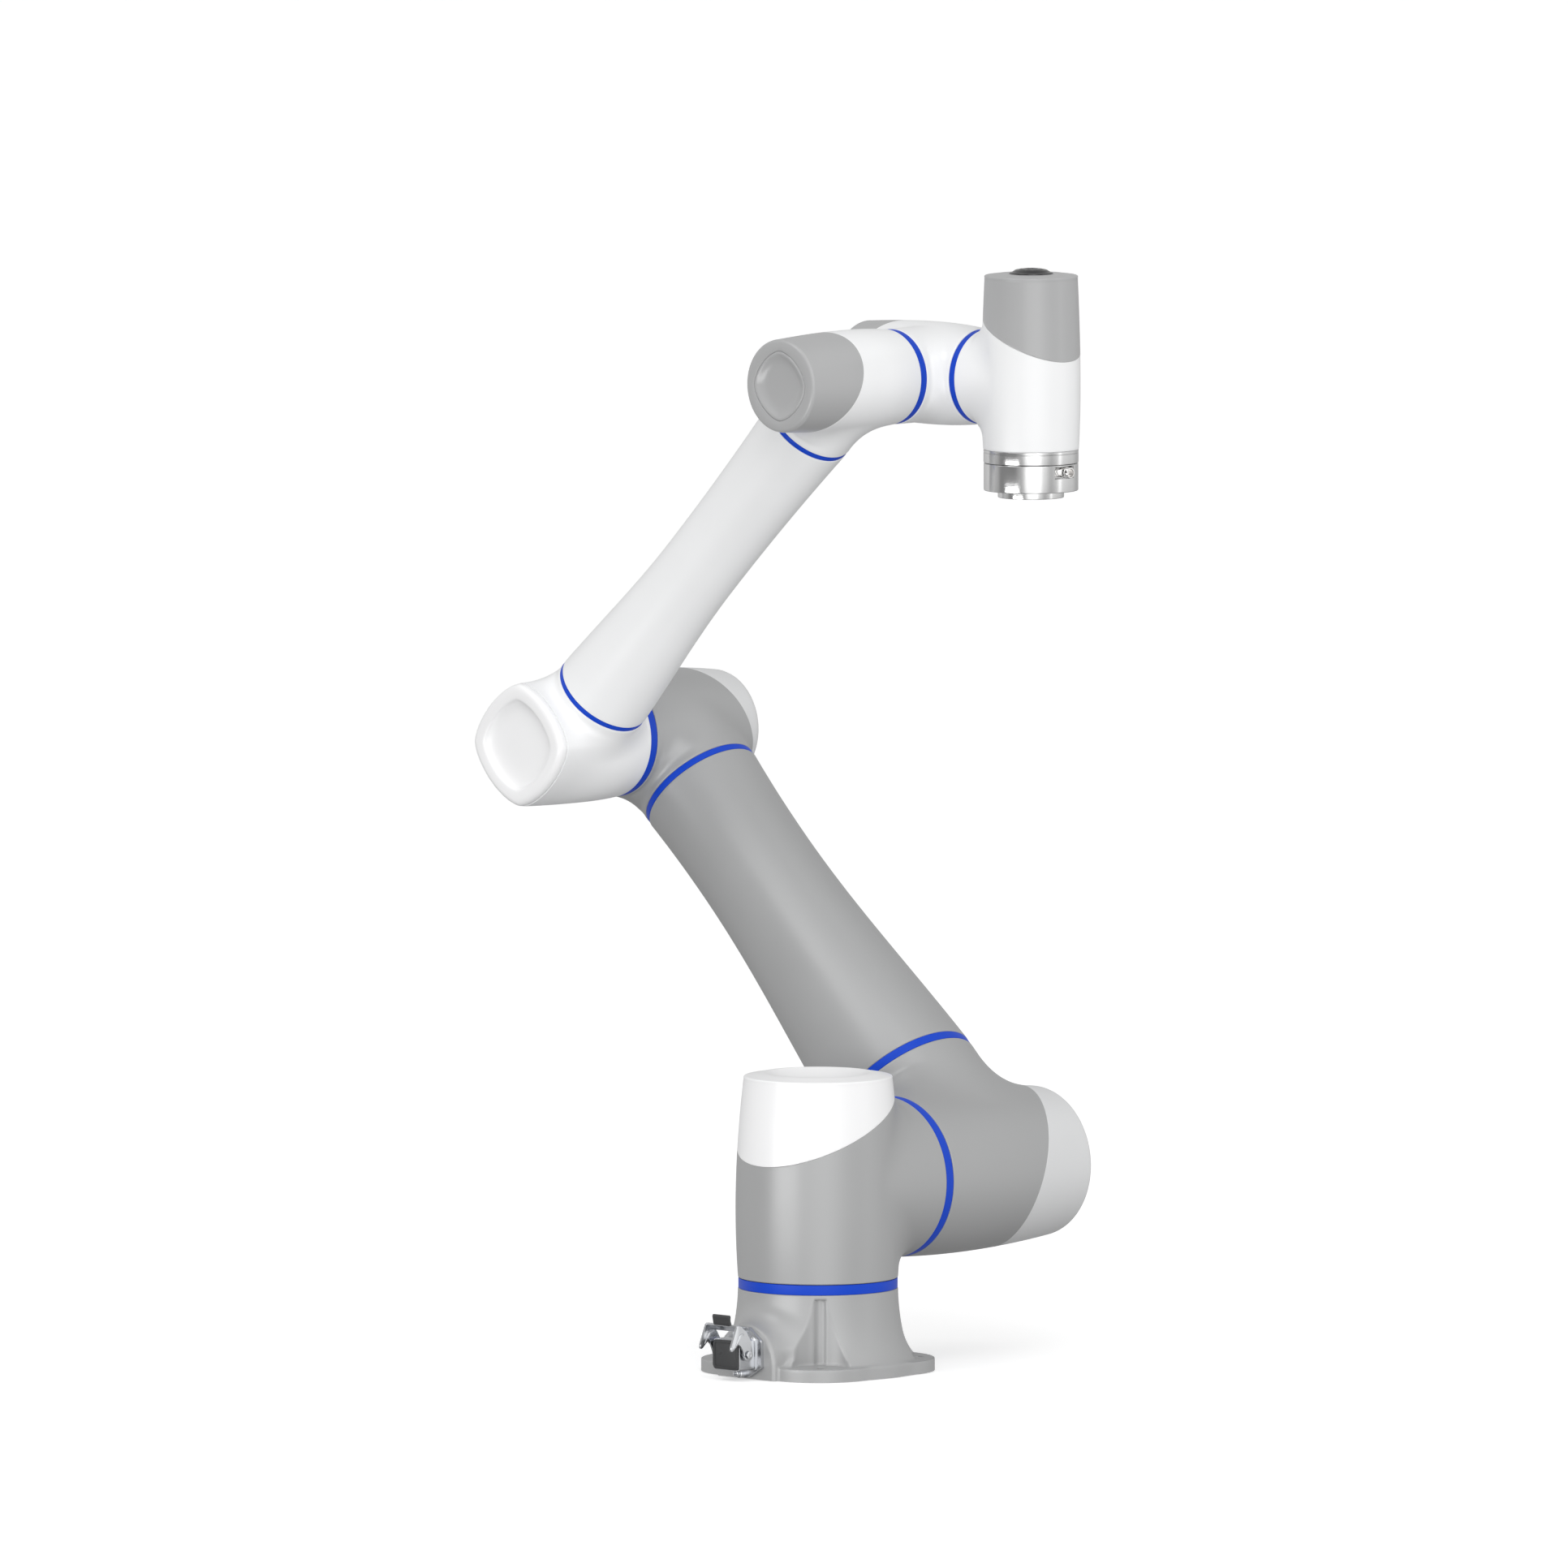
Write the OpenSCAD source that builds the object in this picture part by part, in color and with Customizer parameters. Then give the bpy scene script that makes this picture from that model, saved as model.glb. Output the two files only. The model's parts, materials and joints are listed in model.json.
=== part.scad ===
// Six-axis collaborative robot arm, base on the floor, tool flange facing down.
// The origin is the centre of the base mounting face. +Z is the axis of joint 1.
// Joints 2, 3 and 4 turn about lines along Y, and the cable socket faces -Y.

/* [Arm] */
// Height of the shoulder axis above the mounting face
shoulder_h = 176.5; // [174:0.5:180]
// Length of the upper arm, shoulder axis to elbow axis
upper_arm_l = 557; // [545:1:600]
// Length of the forearm, elbow axis to first wrist axis
forearm_l = 518; // [505:1:560]
// Distance from the base axis to the plane of the upper arm
upper_arm_y = 199; // [197:0.5:201]
// Distance from the base axis to the plane of the forearm
forearm_y = 66; // [65:0.5:67]
// Distance from the base axis to the middle of the second wrist housing
wrist_2_y = 191; // [190:0.5:192]
// Distance between the second and third wrist axes
wrist_3_x = 125; // [124:0.5:126]
// Distance from the second wrist axis down to the tool face
tool_drop = 111.4; // [111:0.1:112]
// Lean of the upper arm from upright, towards -X
upper_arm_lean = 45; // [40:1:50]
// Lean of the forearm from upright, towards +X
forearm_lean = 45; // [40:1:50]

/* [Housings] */
// Radius of the seal ring of joint 1
base_r = 76; // [75.5:0.5:76.5]
// Radius of the seal ring of joint 2
big_r = 77; // [76.5:0.5:77.5]
// Radius of the seal ring of joint 3
mid_r = 58.5; // [58:0.5:59]
// Radius of the seal rings of joints 4 and 5
small_r = 45.5; // [45:0.5:46]
// Wall of the shoulder castings
big_wall = 6; // [5:0.5:7]
// Wall of the elbow castings
mid_wall = 5; // [4:0.5:5.5]
// Wall of the wrist castings
small_wall = 4; // [3.5:0.5:4.5]
// Rise of a cap seam for each unit of distance towards the neck
seam_slope = 0.48; // [0.44:0.01:0.5]

/* [Base] */
// Width of the mounting flange across its flats
flange_w = 190; // [186:1:196]
// Corner radius of the mounting flange
flange_corner_r = 56.5; // [54:0.5:56.5]
// Thickness of the mounting flange
flange_t = 12; // [10:1:14]
// Diameter of the circle through the four mounting bolts
bolt_circle_d = 190; // [188:1:192]
// Diameter of each mounting bolt hole
bolt_hole_d = 9; // [8:0.5:10]

/* [Tool side] */
// Outer diameter of the tool flange
tool_d = 63; // [63:1:64]
// Diameter of the circle through the tool screws
tool_circle_d = 50; // [50:1:51]
// Core diameter of each threaded tool hole
tool_hole_d = 5; // [4.8:0.1:5.2]
// Diameter of the centring bore
pilot_d = 31.5; // [30:0.5:32]
// Diameter of the locating pin hole
dowel_d = 6; // [5.5:0.5:6.5]

/* [Hidden] */
$fn = 64;
running_gap = 0.3;            // between a seal ring and the housing that turns past it
cut = 1;                      // how far a cutting body runs past a face
profile_steps = 7;            // straight pieces in each curved stretch of an outline

// Widths of the blue rings along their own axes
base_ring_w = 10;
shoulder_ring_w = 10;
upper_arm_low_ring_w = 8.5;
upper_arm_top_ring_w = 6.5;
elbow_ring_w = 9;
forearm_ring_w = 5;
wrist_1_ring_w = 8;
wrist_2_ring_w = 7;

// Planes where neighbouring pieces meet, measured from the axes named
base_top = 79;                          // under the joint 1 ring, above the floor
shoulder_reach = 97;                    // base axis to the joint 2 ring
upper_arm_reach = 100.75;               // shoulder axis to the lower tube ring
elbow_reach = 68.75;                    // elbow axis to the upper tube ring
elbow_ring_y = 122.5;                   // base axis to the joint 3 ring
forearm_reach = 66.5;                   // elbow axis to the lower tube ring
wrist_1_reach = 61.5;                   // wrist 1 axis to the upper tube ring
wrist_1_ring_y = 124;                   // base axis to the joint 4 ring
wrist_2_tail = 60.1;                    // wrist 2 centre to the joint 5 ring
wrist_3_tail = 65.6;                    // wrist 2 axis down to the metal end ring
end_ring_w = 12.5;                      // height of that ring
flange_body_h = tool_drop - wrist_3_tail - end_ring_w - running_gap;
tool_boss_h = 6.8;                      // height of the round tool flange itself

shoulder_tail = shoulder_h - base_top - base_ring_w;
upper_arm_tail = upper_arm_y - shoulder_reach - shoulder_ring_w;
elbow_tail = upper_arm_y - elbow_ring_y - elbow_ring_w;
forearm_tail = elbow_ring_y - forearm_y;
wrist_1_tail = wrist_1_ring_y - forearm_y;
wrist_2_reach = wrist_2_y - wrist_1_ring_y - wrist_1_ring_w;
wrist_3_reach = wrist_3_x - wrist_2_tail - wrist_2_ring_w;

// Positions of the axes at rest
elbow_x = -upper_arm_l * sin(upper_arm_lean);
elbow_z = shoulder_h + upper_arm_l * cos(upper_arm_lean);
wrist_x = elbow_x + forearm_l * sin(forearm_lean);
wrist_z = elbow_z + forearm_l * cos(forearm_lean);
tool_x = wrist_x + wrist_3_x;

// Housing sizes: [ring radius, belly radius, rim radius, rim height, neck radius, wall,
// seam height]
RING = 0;
BELLY = 1;
RIM = 2;
RIM_H = 3;
NECK = 4;
WALL = 5;
SEAM = 6;
shoulder_size = [base_r, 78.7, 70.4, 104.5, big_r, big_wall, 60];
upper_arm_size = [big_r, 79, 71.5, 107, 74.8, big_wall, 60];
elbow_size = [mid_r, 61.4, 54, 80, 60, mid_wall, 46];
forearm_size = [mid_r, 60.5, 59, 69.5, 47.5, mid_wall, 60];
wrist_1_size = [small_r, 48, 44, 90, 43.8, small_wall, 42];
wrist_2_size = [small_r, 49.3, 45, 90.4, small_r, small_wall, 42];
wrist_3_size = [small_r, 46.7, 44.2, 100, small_r, small_wall, 42];

// Cap end: proportions of the rim radius
dome_rise = 0.025;
dish_edge = 0.7;
dish_floor = 0.26;
dish_depth = 0.07;

// Cable socket on the base
socket_z = 24.5;
pad_face_y = -100;
pad_half_w = 38;
plate_t = 4;
shell_half_w = 17;
shell_half_h = 15;
shell_y = -126;
lever_pivot = [-117.6, 25.2];           // Y and Z of the lever's hinge line
lever_arm_x = 20;
lever_arm_t = 2;
lever_pin_r = 2.5;
lever_pin_gap = 0.06;
screw_offset = 19;                      // each screw above or below the socket's middle
screw_boss_h = 6;                       // boss that each screw stands on, above the plate
screw_boss_r = 4.4;
contact_bore_r = 10;                    // way for the contacts through plate and casting
shell_foot_t = 6;                       // closed floor of the shell, behind the contacts
shell_wall = 2;
screw_shaft_d = 3.9;
screw_way_d = 4.4;
screw_thread_d = 4;                     // hole in the casting that a screw goes into
screw_l = 16;

// Button on the third wrist
button_r = 12;
button_gap = 0.4;
button_travel_room = 2.2;
bezel_foot = wrist_3_size[RIM_H] - dish_depth * wrist_3_size[RIM];

// Tool socket
tool_socket_drop = 19.8;                // below the wrist 3 casting's lower end
tool_recess_h = 12;                     // height and width of the flat recess behind it
tool_recess_w = 26;
tool_recess_x = 36;                     // floor of the recess, from the tool axis

// Link tubes: radius at the lower end, height and radius of the waist, radius at the upper end
upper_tube_low_r = 74.6;
upper_tube_waist = 388;
upper_tube_waist_r = 57.1;
upper_tube_top_r = 60;
upper_tube_wall = 5;
fore_tube_low_r = 47.3;
fore_tube_waist = 252;
fore_tube_waist_r = 38.2;
fore_tube_top_r = 43.8;
fore_tube_wall = 4;
link_end_wall = 8;                      // closed ends of the tubes and of the larger castings
wrist_end_wall = 6;

// Radius of the way for the wiring through each closed end
shoulder_cable_r = 18;
link_cable_r = 14;
wrist_1_cable_r = 12;
wrist_cable_r = 11;

// Joint drive proportions, as fractions of the bore that holds the drive
SPLINE_R = 0.66;
SPLINE_IN = 0.62;
ROTOR_R = 0.6;
SHAFT_R = 0.25;
SHAFT_IN = 0.18;
DISC_R = 0.78;                          // output disc
CUP_H = 0.3;                            // toothed cup that stands on it
SPLINE_Z = 0.03;                        // rigid toothed ring round the cup
SPLINE_H = 0.25;
CORE_Z = 0.38;                          // motor core and the face plate on it
CORE_H = 0.45;
FACE_IN = 0.3;
FACE_H = 0.04;
SHAFT_Z = 0.02;
SHAFT_H = 1.15;
WAVE_Z = 0.04;                          // wave generator inside the cup
WAVE_H = 0.2;
MAGNET_H = 0.41;

// A point on a curve that leaves a towards b and arrives at d from c
function bend(a, b, c, d, t) =
    pow(1 - t, 3) * a + 3 * pow(1 - t, 2) * t * b + 3 * (1 - t) * t * t * c + pow(t, 3) * d;

function curve(a, b, c, d) =
    [for (i = [0 : profile_steps]) bend(a, b, c, d, i / profile_steps)];

// Half outline of a closed housing barrel: radius and height, tail at the bottom
function barrel_outline(s, tail) = let (
    rim = s[RIM],
    top = s[RIM_H],
    bevel = 0.03 * rim
) concat(
    [[0, -tail]],
    curve([s[RING], -tail], [s[BELLY] + 1, -0.4 * tail],
        [s[BELLY] + 1, 0.25 * top], [rim, top]),
    [[rim - bevel, top + 0.6 * bevel],
        [dish_edge * rim, top + dome_rise * rim + 0.6 * bevel],
        [dish_floor * rim + 4, top - dish_depth * rim + 1],
        [dish_floor * rim, top - dish_depth * rim],
        [0, top - dish_depth * rim]]);

// Half outline of the space inside that barrel
function cavity_outline(s, tail) = let (
    bore = bore_r(s),
    roof = s[RIM_H] - dish_depth * s[RIM] - s[WALL]
) [[0, -tail - cut], [bore, -tail - cut], [bore, 0.3 * roof],
    [s[RIM] - s[WALL] - 0.5, roof], [0, roof]];

function bore_r(s) = s[RING] - s[WALL];

module above_seam(s) {
    reach = 150;                        // wider than any housing
    translate([0, 0, s[SEAM]])
        rotate([atan(seam_slope), 0, 0])
            translate([-reach, -reach, 0])
                cube([2 * reach, 2 * reach, 2 * reach]);
}

// Casting of a joint: an open barrel along Z and a neck along +Y with a closed, bored end
module housing(s, tail, reach, cable_r, end_wall) {
    difference() {
        union() {
            rotate_extrude() polygon(barrel_outline(s, tail));
            rotate([-90, 0, 0]) cylinder(r = s[NECK], h = reach);
        }
        rotate_extrude() polygon(cavity_outline(s, tail));
        rotate([-90, 0, 0]) cylinder(r = s[NECK] - s[WALL] - 1, h = reach - end_wall);
        rotate([-90, 0, 0]) cylinder(r = cable_r, h = reach + cut);
        above_seam(s);
    }
}

// Cover that closes the barrel above the slanted seam
module cap(s, tail) {
    intersection() {
        rotate_extrude()
            difference() {
                polygon(barrel_outline(s, tail));
                polygon(cavity_outline(s, tail));
            }
        above_seam(s);
    }
}

module ring(r_out, r_in, h) {
    difference() {
        cylinder(r = r_out, h = h);
        translate([0, 0, -cut]) cylinder(r = r_in, h = h + 2 * cut);
    }
}

// Waisted tube: radius at each end and at the waist, lengths along Z
module waisted_tube(low, low_r, waist, waist_r, top, top_r, wall) {
    low_side = curve([low_r, low], [0.6 * low_r + 0.4 * waist_r, 0.61 * low + 0.39 * waist],
        [waist_r, 0.35 * low + 0.65 * waist], [waist_r, waist]);
    top_side = curve([waist_r, waist], [waist_r, 0.58 * waist + 0.42 * top],
        [0.5 * top_r + 0.5 * waist_r, 0.26 * waist + 0.74 * top], [top_r, top]);
    difference() {
        rotate_extrude()
            polygon(concat([[0, low]], low_side, top_side, [[0, top]]));
        translate([0, 0, low + link_end_wall])
            cylinder(r = waist_r - wall, h = top - low - 2 * link_end_wall);
        translate([0, 0, low - cut]) cylinder(r = link_cable_r, h = top - low + 2 * cut);
    }
}

// Places: each puts its children in the frame of one part of the arm
module at_shoulder() translate([0, 0, shoulder_h]) children();
module at_upper_arm()
    translate([0, upper_arm_y, shoulder_h]) rotate([0, -upper_arm_lean, 0]) children();
module at_forearm()
    translate([elbow_x, forearm_y, elbow_z]) rotate([0, forearm_lean, 0]) children();
module at_upper_arm_housing() at_upper_arm() rotate([0, 180, 0]) rotate([-90, 0, 0]) children();
module at_elbow() at_upper_arm() translate([0, 0, upper_arm_l]) rotate([-90, 0, 0]) children();
module at_forearm_housing() at_forearm() rotate([90, 0, 0]) children();
module at_wrist_1()
    at_forearm() translate([0, 0, forearm_l]) rotate([0, 180, 0]) rotate([90, 0, 0]) children();
module at_wrist_2()
    translate([wrist_x, wrist_2_y, wrist_z]) rotate([0, 0, 180]) rotate([0, 90, 0]) children();
module at_wrist_3() translate([tool_x, wrist_2_y, wrist_z]) rotate([0, 0, 90]) children();

// Joint drive, drawn with its housing's tail face at Z = 0 and the housing above it.
// The output disc closes the ring on the other side and carries the thin toothed cup.
module drive_output(bore, ring_w) {
    disc_r = DISC_R * bore;
    cup_h = CUP_H * bore;
    color("silver") difference() {
        union() {
            translate([0, 0, -ring_w]) cylinder(r = disc_r, h = ring_w);
            cylinder(r = SPLINE_R * bore, h = cup_h);
        }
        cylinder(r = SPLINE_IN * bore, h = cup_h + cut);
        translate([0, 0, -ring_w - cut]) cylinder(r = SHAFT_R * bore + 1, h = ring_w + 2 * cut);
    }
}

// Rigid toothed ring fixed in the housing
module drive_spline(bore) {
    color("dimgray") translate([0, 0, SPLINE_Z * bore])
        ring(bore - 0.1, SPLINE_R * bore + 0.4, SPLINE_H * bore);
}

// Motor core with its winding, and a face plate with the brake and position board
module drive_stator(bore) {
    core_h = CORE_H * bore;
    color("#b87333") translate([0, 0, CORE_Z * bore]) {
        ring(bore - 0.1, SPLINE_IN * bore, core_h);
        translate([0, 0, core_h]) ring(bore - 0.1, FACE_IN * bore, FACE_H * bore);
    }
}

// Hollow shaft with the wave generator in the cup and the magnets in the motor core
module drive_rotor(bore) {
    color("gray") translate([0, 0, SHAFT_Z * bore])
        difference() {
            union() {
                cylinder(r = SHAFT_R * bore, h = SHAFT_H * bore);
                translate([0, 0, WAVE_Z * bore]) cylinder(r = ROTOR_R * bore, h = WAVE_H * bore);
                translate([0, 0, CORE_Z * bore]) cylinder(r = ROTOR_R * bore, h = MAGNET_H * bore);
            }
            translate([0, 0, -cut]) cylinder(r = SHAFT_IN * bore, h = SHAFT_H * bore + 2 * cut);
        }
}

// Blue seal ring between two housings, with the drive's tail face at Z = 0
module seal_ring(r, bore, ring_w) {
    color("royalblue") translate([0, 0, -ring_w]) ring(r, 0.8 * bore, ring_w - running_gap);
}

module tube_ring(r, ring_w) {
    color("royalblue") ring(r, link_cable_r + 1, ring_w);
}

// Drive places, at the tail face of each housing
module at_j1() at_shoulder() translate([0, 0, -shoulder_tail]) children();
module at_j2() at_upper_arm_housing() translate([0, 0, -upper_arm_tail]) children();
module at_j3() at_elbow() translate([0, 0, -elbow_tail]) children();
module at_j4() at_wrist_1() translate([0, 0, -wrist_1_tail]) children();
module at_j5() at_wrist_2() translate([0, 0, -wrist_2_tail]) children();
module at_j6() at_wrist_3() translate([0, 0, -wrist_3_tail - end_ring_w]) children();

/* Base */
module base_casting() {
    skirt_r = 98.5;
    skirt = concat([[0, 1], [skirt_r, 1]],
        curve([skirt_r, flange_t - 1], [86, 22], [78, 42], [base_r, base_top]), [[0, base_top]]);
    pocket_r = 32;
    pocket_at = 107.5;
    pocket_top = 72;
    pocket_floor = flange_t - 0.6;
    groove_r = 6.5;
    groove_at = 79;
    groove_top = 75;
    cavity_r = 64;
    top_wall = 9;
    pad_root_y = -60;
    arch_z = 13;
    color("darkgray") difference() {
        union() {
            rotate_extrude() polygon(skirt);
            linear_extrude(flange_t)
                rounded_plate(flange_w / 2, flange_w / 2, flange_corner_r);
            // pad for the cable socket, an arch standing on the flange
            translate([0, pad_root_y, 0]) rotate([90, 0, 0])
                linear_extrude(pad_root_y - pad_face_y) {
                    translate([-pad_half_w, 0]) square([2 * pad_half_w, arch_z]);
                    intersection() {
                        translate([0, arch_z]) circle(pad_half_w);
                        translate([-pad_half_w, arch_z]) square([2 * pad_half_w, pad_half_w]);
                    }
                }
        }
        for (turn = [45 : 90 : 315]) rotate([0, 0, turn]) {
            translate([pocket_at, 0, pocket_floor])
                cylinder(r = pocket_r, h = pocket_top - pocket_floor);
            translate([groove_at, 0, pocket_floor])
                cylinder(r = groove_r, h = groove_top - pocket_floor);
            translate([bolt_circle_d / 2, 0, -cut])
                cylinder(d = bolt_hole_d, h = flange_t + 2 * cut);
        }
        translate([0, 0, -cut]) cylinder(r = cavity_r, h = base_top - top_wall + cut);
        cylinder(r = link_cable_r, h = base_top + cut);
        translate([0, pad_face_y - cut, socket_z])
            rotate([-90, 0, 0]) cylinder(r = contact_bore_r + 1, h = 60);
        for (side = [-1, 1]) translate([0, pad_face_y - cut, socket_z + side * screw_offset])
            rotate([-90, 0, 0]) cylinder(d = screw_thread_d, h = 12 + cut);
    }
}
module base_seal_ring() at_j1() seal_ring(base_r, bore_r(shoulder_size), base_ring_w);

// Outline of the socket's mounting plate, a tall rectangle with long corner cuts
module plate_outline() {
    half_w = 24;
    side_h = 13;
    end_w = 8;
    top = 24.8;
    bottom = -22.8;
    polygon([[-half_w, side_h], [-end_w, top], [end_w, top], [half_w, side_h],
        [half_w, -side_h], [end_w, bottom], [-end_w, bottom], [-half_w, -side_h]]);
}

module rounded_plate(half_w, half_h, r) {
    square([2 * half_w, 2 * (half_h - r)], center = true);
    square([2 * (half_w - r), 2 * half_h], center = true);
    for (x = [-1, 1], y = [-1, 1])
        translate([x * (half_w - r), y * (half_h - r)]) circle(r);
}

module connector_shell() {
    color("lightgray") translate([0, pad_face_y, socket_z]) rotate([90, 0, 0]) {
        difference() {
            union() {
                linear_extrude(plate_t) plate_outline();
                linear_extrude(pad_face_y - shell_y)
                    rounded_plate(shell_half_w, shell_half_h, 3);
                for (side = [-1, 1]) translate([0, side * screw_offset, 0])
                    cylinder(r = screw_boss_r, h = plate_t + screw_boss_h);
            }
            translate([0, 0, shell_foot_t]) linear_extrude(30)
                rounded_plate(shell_half_w - shell_wall, shell_half_h - shell_wall, 2);
            translate([0, 0, -cut]) cylinder(r = contact_bore_r, h = 10);
            for (side = [-1, 1]) translate([0, side * screw_offset, -cut])
                cylinder(d = screw_way_d, h = plate_t + screw_boss_h + 2 * cut);
        }
    }
    // pins that carry the lever, one on each side
    color("lightgray") for (side = [-1, 1])
        translate([side * (shell_half_w - 0.5), lever_pivot[0], lever_pivot[1]])
            rotate([0, side * 90, 0]) {
                cylinder(r = lever_pin_r, h = 5.2);
                translate([0, 0, 4.6]) cylinder(r = 4, h = 1.4);
            }
}

module connector_insert() {
    color("dimgray") translate([0, pad_face_y - shell_foot_t, socket_z]) rotate([90, 0, 0])
        difference() {
            linear_extrude(8) rounded_plate(shell_half_w - 2.1, shell_half_h - 2.1, 2);
            for (x = [-10 : 5 : 10], y = [-5, 0, 5])
                translate([x, y, -cut]) cylinder(r = 1.1, h = 10);
        }
}

// Blind cover pressed into the mouth of the shell, with a small round peg on its face
module connector_cover() {
    lip_t = 1.6;
    color("#2a2a2c") translate([0, shell_y, socket_z]) rotate([90, 0, 0]) {
        linear_extrude(lip_t) rounded_plate(shell_half_w - 0.6, shell_half_h - 1, 2.5);
        translate([0, 0, -6]) linear_extrude(6)
            rounded_plate(shell_half_w - 2.2, shell_half_h - 2.2, 2);
        translate([-7, 1, lip_t]) cylinder(r = 1, h = 0.6);
    }
}

module connector_screws() {
    color("silver") for (side = [-1, 1])
        translate([0, pad_face_y - plate_t - screw_boss_h, socket_z + side * screw_offset])
            rotate([90, 0, 0]) {
                difference() {
                    cylinder(d = 6.5, h = 4);
                    translate([0, 0, 2]) cylinder(d = 3.2, h = 3, $fn = 6);
                }
                translate([0, 0, -screw_l]) cylinder(d = screw_shaft_d, h = screw_l);
            }
}

// One side arm of the locking lever, seen along X: Y then Z, from the pivot
module lever_arm() {
    hook = [[-6, -1], [-7.2, 3.5], [-9.5, 8], [-14, 12], [-21.5, 4.5], [-23.6, 4.6],
        [-24.4, 7.6], [-15.6, 28.6], [-12, 29], [-2, 21], [3.5, 12.5], [6, 1]];
    difference() {
        union() {
            circle(6);
            polygon(hook);
        }
        circle(lever_pin_r + lever_pin_gap);
    }
}

module connector_lever() {
    translate([0, lever_pivot[0], lever_pivot[1]]) {
        color("gainsboro") {
            for (x = [-lever_arm_x - lever_arm_t / 2, lever_arm_x - lever_arm_t / 2])
                translate([x, 0, 0]) rotate([90, 0, 90]) linear_extrude(lever_arm_t)
                    lever_arm();
            translate([-lever_arm_x, 0, 0]) rotate([90, 0, 90])
                linear_extrude(2 * lever_arm_x)
                    polygon([[-15, 27.2], [-14, 29], [-12, 29], [-4.5, 23], [-5.8, 21.6]]);
        }
        color("#2a2a2c") translate([-10.5, 0, 0]) rotate([90, 0, 90]) linear_extrude(21)
            polygon([[-14.8, 28.4], [-16.2, 32], [-16, 38], [-13.4, 38], [-13.5, 32.4],
                [-11.8, 28.8]]);
    }
}

/* Shoulder */
module shoulder_housing()
    color("darkgray") at_shoulder()
        housing(shoulder_size, shoulder_tail, shoulder_reach, shoulder_cable_r, link_end_wall);
module shoulder_cap() color("white") at_shoulder() cap(shoulder_size, shoulder_tail);
module shoulder_seal_ring()
    at_j2() seal_ring(big_r, bore_r(upper_arm_size), shoulder_ring_w);

/* Upper arm */
module upper_arm_housing()
    color("darkgray") at_upper_arm_housing()
        housing(upper_arm_size, upper_arm_tail, upper_arm_reach, link_cable_r, link_end_wall);
module upper_arm_cap()
    color("lightgray") at_upper_arm_housing() cap(upper_arm_size, upper_arm_tail);
module upper_arm_lower_ring()
    at_upper_arm() translate([0, 0, upper_arm_reach])
        tube_ring(upper_tube_low_r, upper_arm_low_ring_w);
module upper_arm_tube()
    color("darkgray") at_upper_arm()
        waisted_tube(upper_arm_reach + upper_arm_low_ring_w, upper_tube_low_r,
            upper_tube_waist, upper_tube_waist_r,
            upper_arm_l - elbow_reach - upper_arm_top_ring_w, upper_tube_top_r, upper_tube_wall);
module upper_arm_upper_ring()
    at_upper_arm() translate([0, 0, upper_arm_l - elbow_reach - upper_arm_top_ring_w])
        tube_ring(upper_tube_top_r, upper_arm_top_ring_w);
module elbow_housing()
    color("darkgray") at_elbow()
        housing(elbow_size, elbow_tail, elbow_reach, link_cable_r, link_end_wall);
module elbow_cap() color("lightgray") at_elbow() cap(elbow_size, elbow_tail);

/* Forearm */
module elbow_seal_ring()
    at_j3() seal_ring(mid_r, bore_r(elbow_size), elbow_ring_w);

// The forearm's elbow end: an open barrel towards joint 3 and a flat, squarish end cover
module forearm_housing() {
    belly = forearm_size[BELLY];
    seam = forearm_size[SEAM];
    color("white") at_forearm_housing() difference() {
        union() {
            rotate_extrude() polygon([[0, -forearm_tail], [mid_r, -forearm_tail],
                [0.5 * (mid_r + belly) + 0.5, -0.6 * forearm_tail], [belly, -0.1 * forearm_tail],
                [belly, 0.6 * seam], [belly - 1, seam], [0, seam]]);
            rotate([-90, 0, 0]) cylinder(r = forearm_size[NECK], h = forearm_reach);
        }
        translate([0, 0, link_end_wall - forearm_tail])
            cylinder(r = bore_r(forearm_size), h = forearm_tail + seam);
        translate([0, 0, -forearm_tail - cut])
            cylinder(r = shoulder_cable_r, h = link_end_wall + 2 * cut);
        rotate([-90, 0, 0])
            cylinder(r = forearm_size[NECK] - mid_wall, h = forearm_reach - link_end_wall);
        rotate([-90, 0, 0]) cylinder(r = link_cable_r, h = forearm_reach + cut);
    }
}

module forearm_cap() {
    half_side = 52;
    dish_r = 38;
    dish_t = 4;
    inner_r = 48;
    floor_t = 8;
    depth = forearm_size[RIM_H] - forearm_size[SEAM];
    color("white") at_forearm_housing() translate([0, 0, forearm_size[SEAM]])
        difference() {
            intersection() {
                cylinder(r = forearm_size[RIM], h = depth);
                rotate([0, 0, 45 - forearm_lean])
                    translate([-half_side, -half_side, 0])
                        cube([2 * half_side, 2 * half_side, depth]);
            }
            translate([0, 0, depth - dish_t]) cylinder(r = dish_r, h = dish_t + cut);
            translate([0, 0, -cut]) cylinder(r = inner_r, h = depth - floor_t + cut);
        }
}

module forearm_lower_ring()
    at_forearm() translate([0, 0, forearm_reach])
        tube_ring(forearm_size[NECK], forearm_ring_w);
module forearm_tube()
    color("white") at_forearm()
        waisted_tube(forearm_reach + forearm_ring_w, fore_tube_low_r,
            fore_tube_waist, fore_tube_waist_r,
            forearm_l - wrist_1_reach - forearm_ring_w, fore_tube_top_r, fore_tube_wall);
module forearm_upper_ring()
    at_forearm() translate([0, 0, forearm_l - wrist_1_reach - forearm_ring_w])
        tube_ring(fore_tube_top_r, forearm_ring_w);

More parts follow.
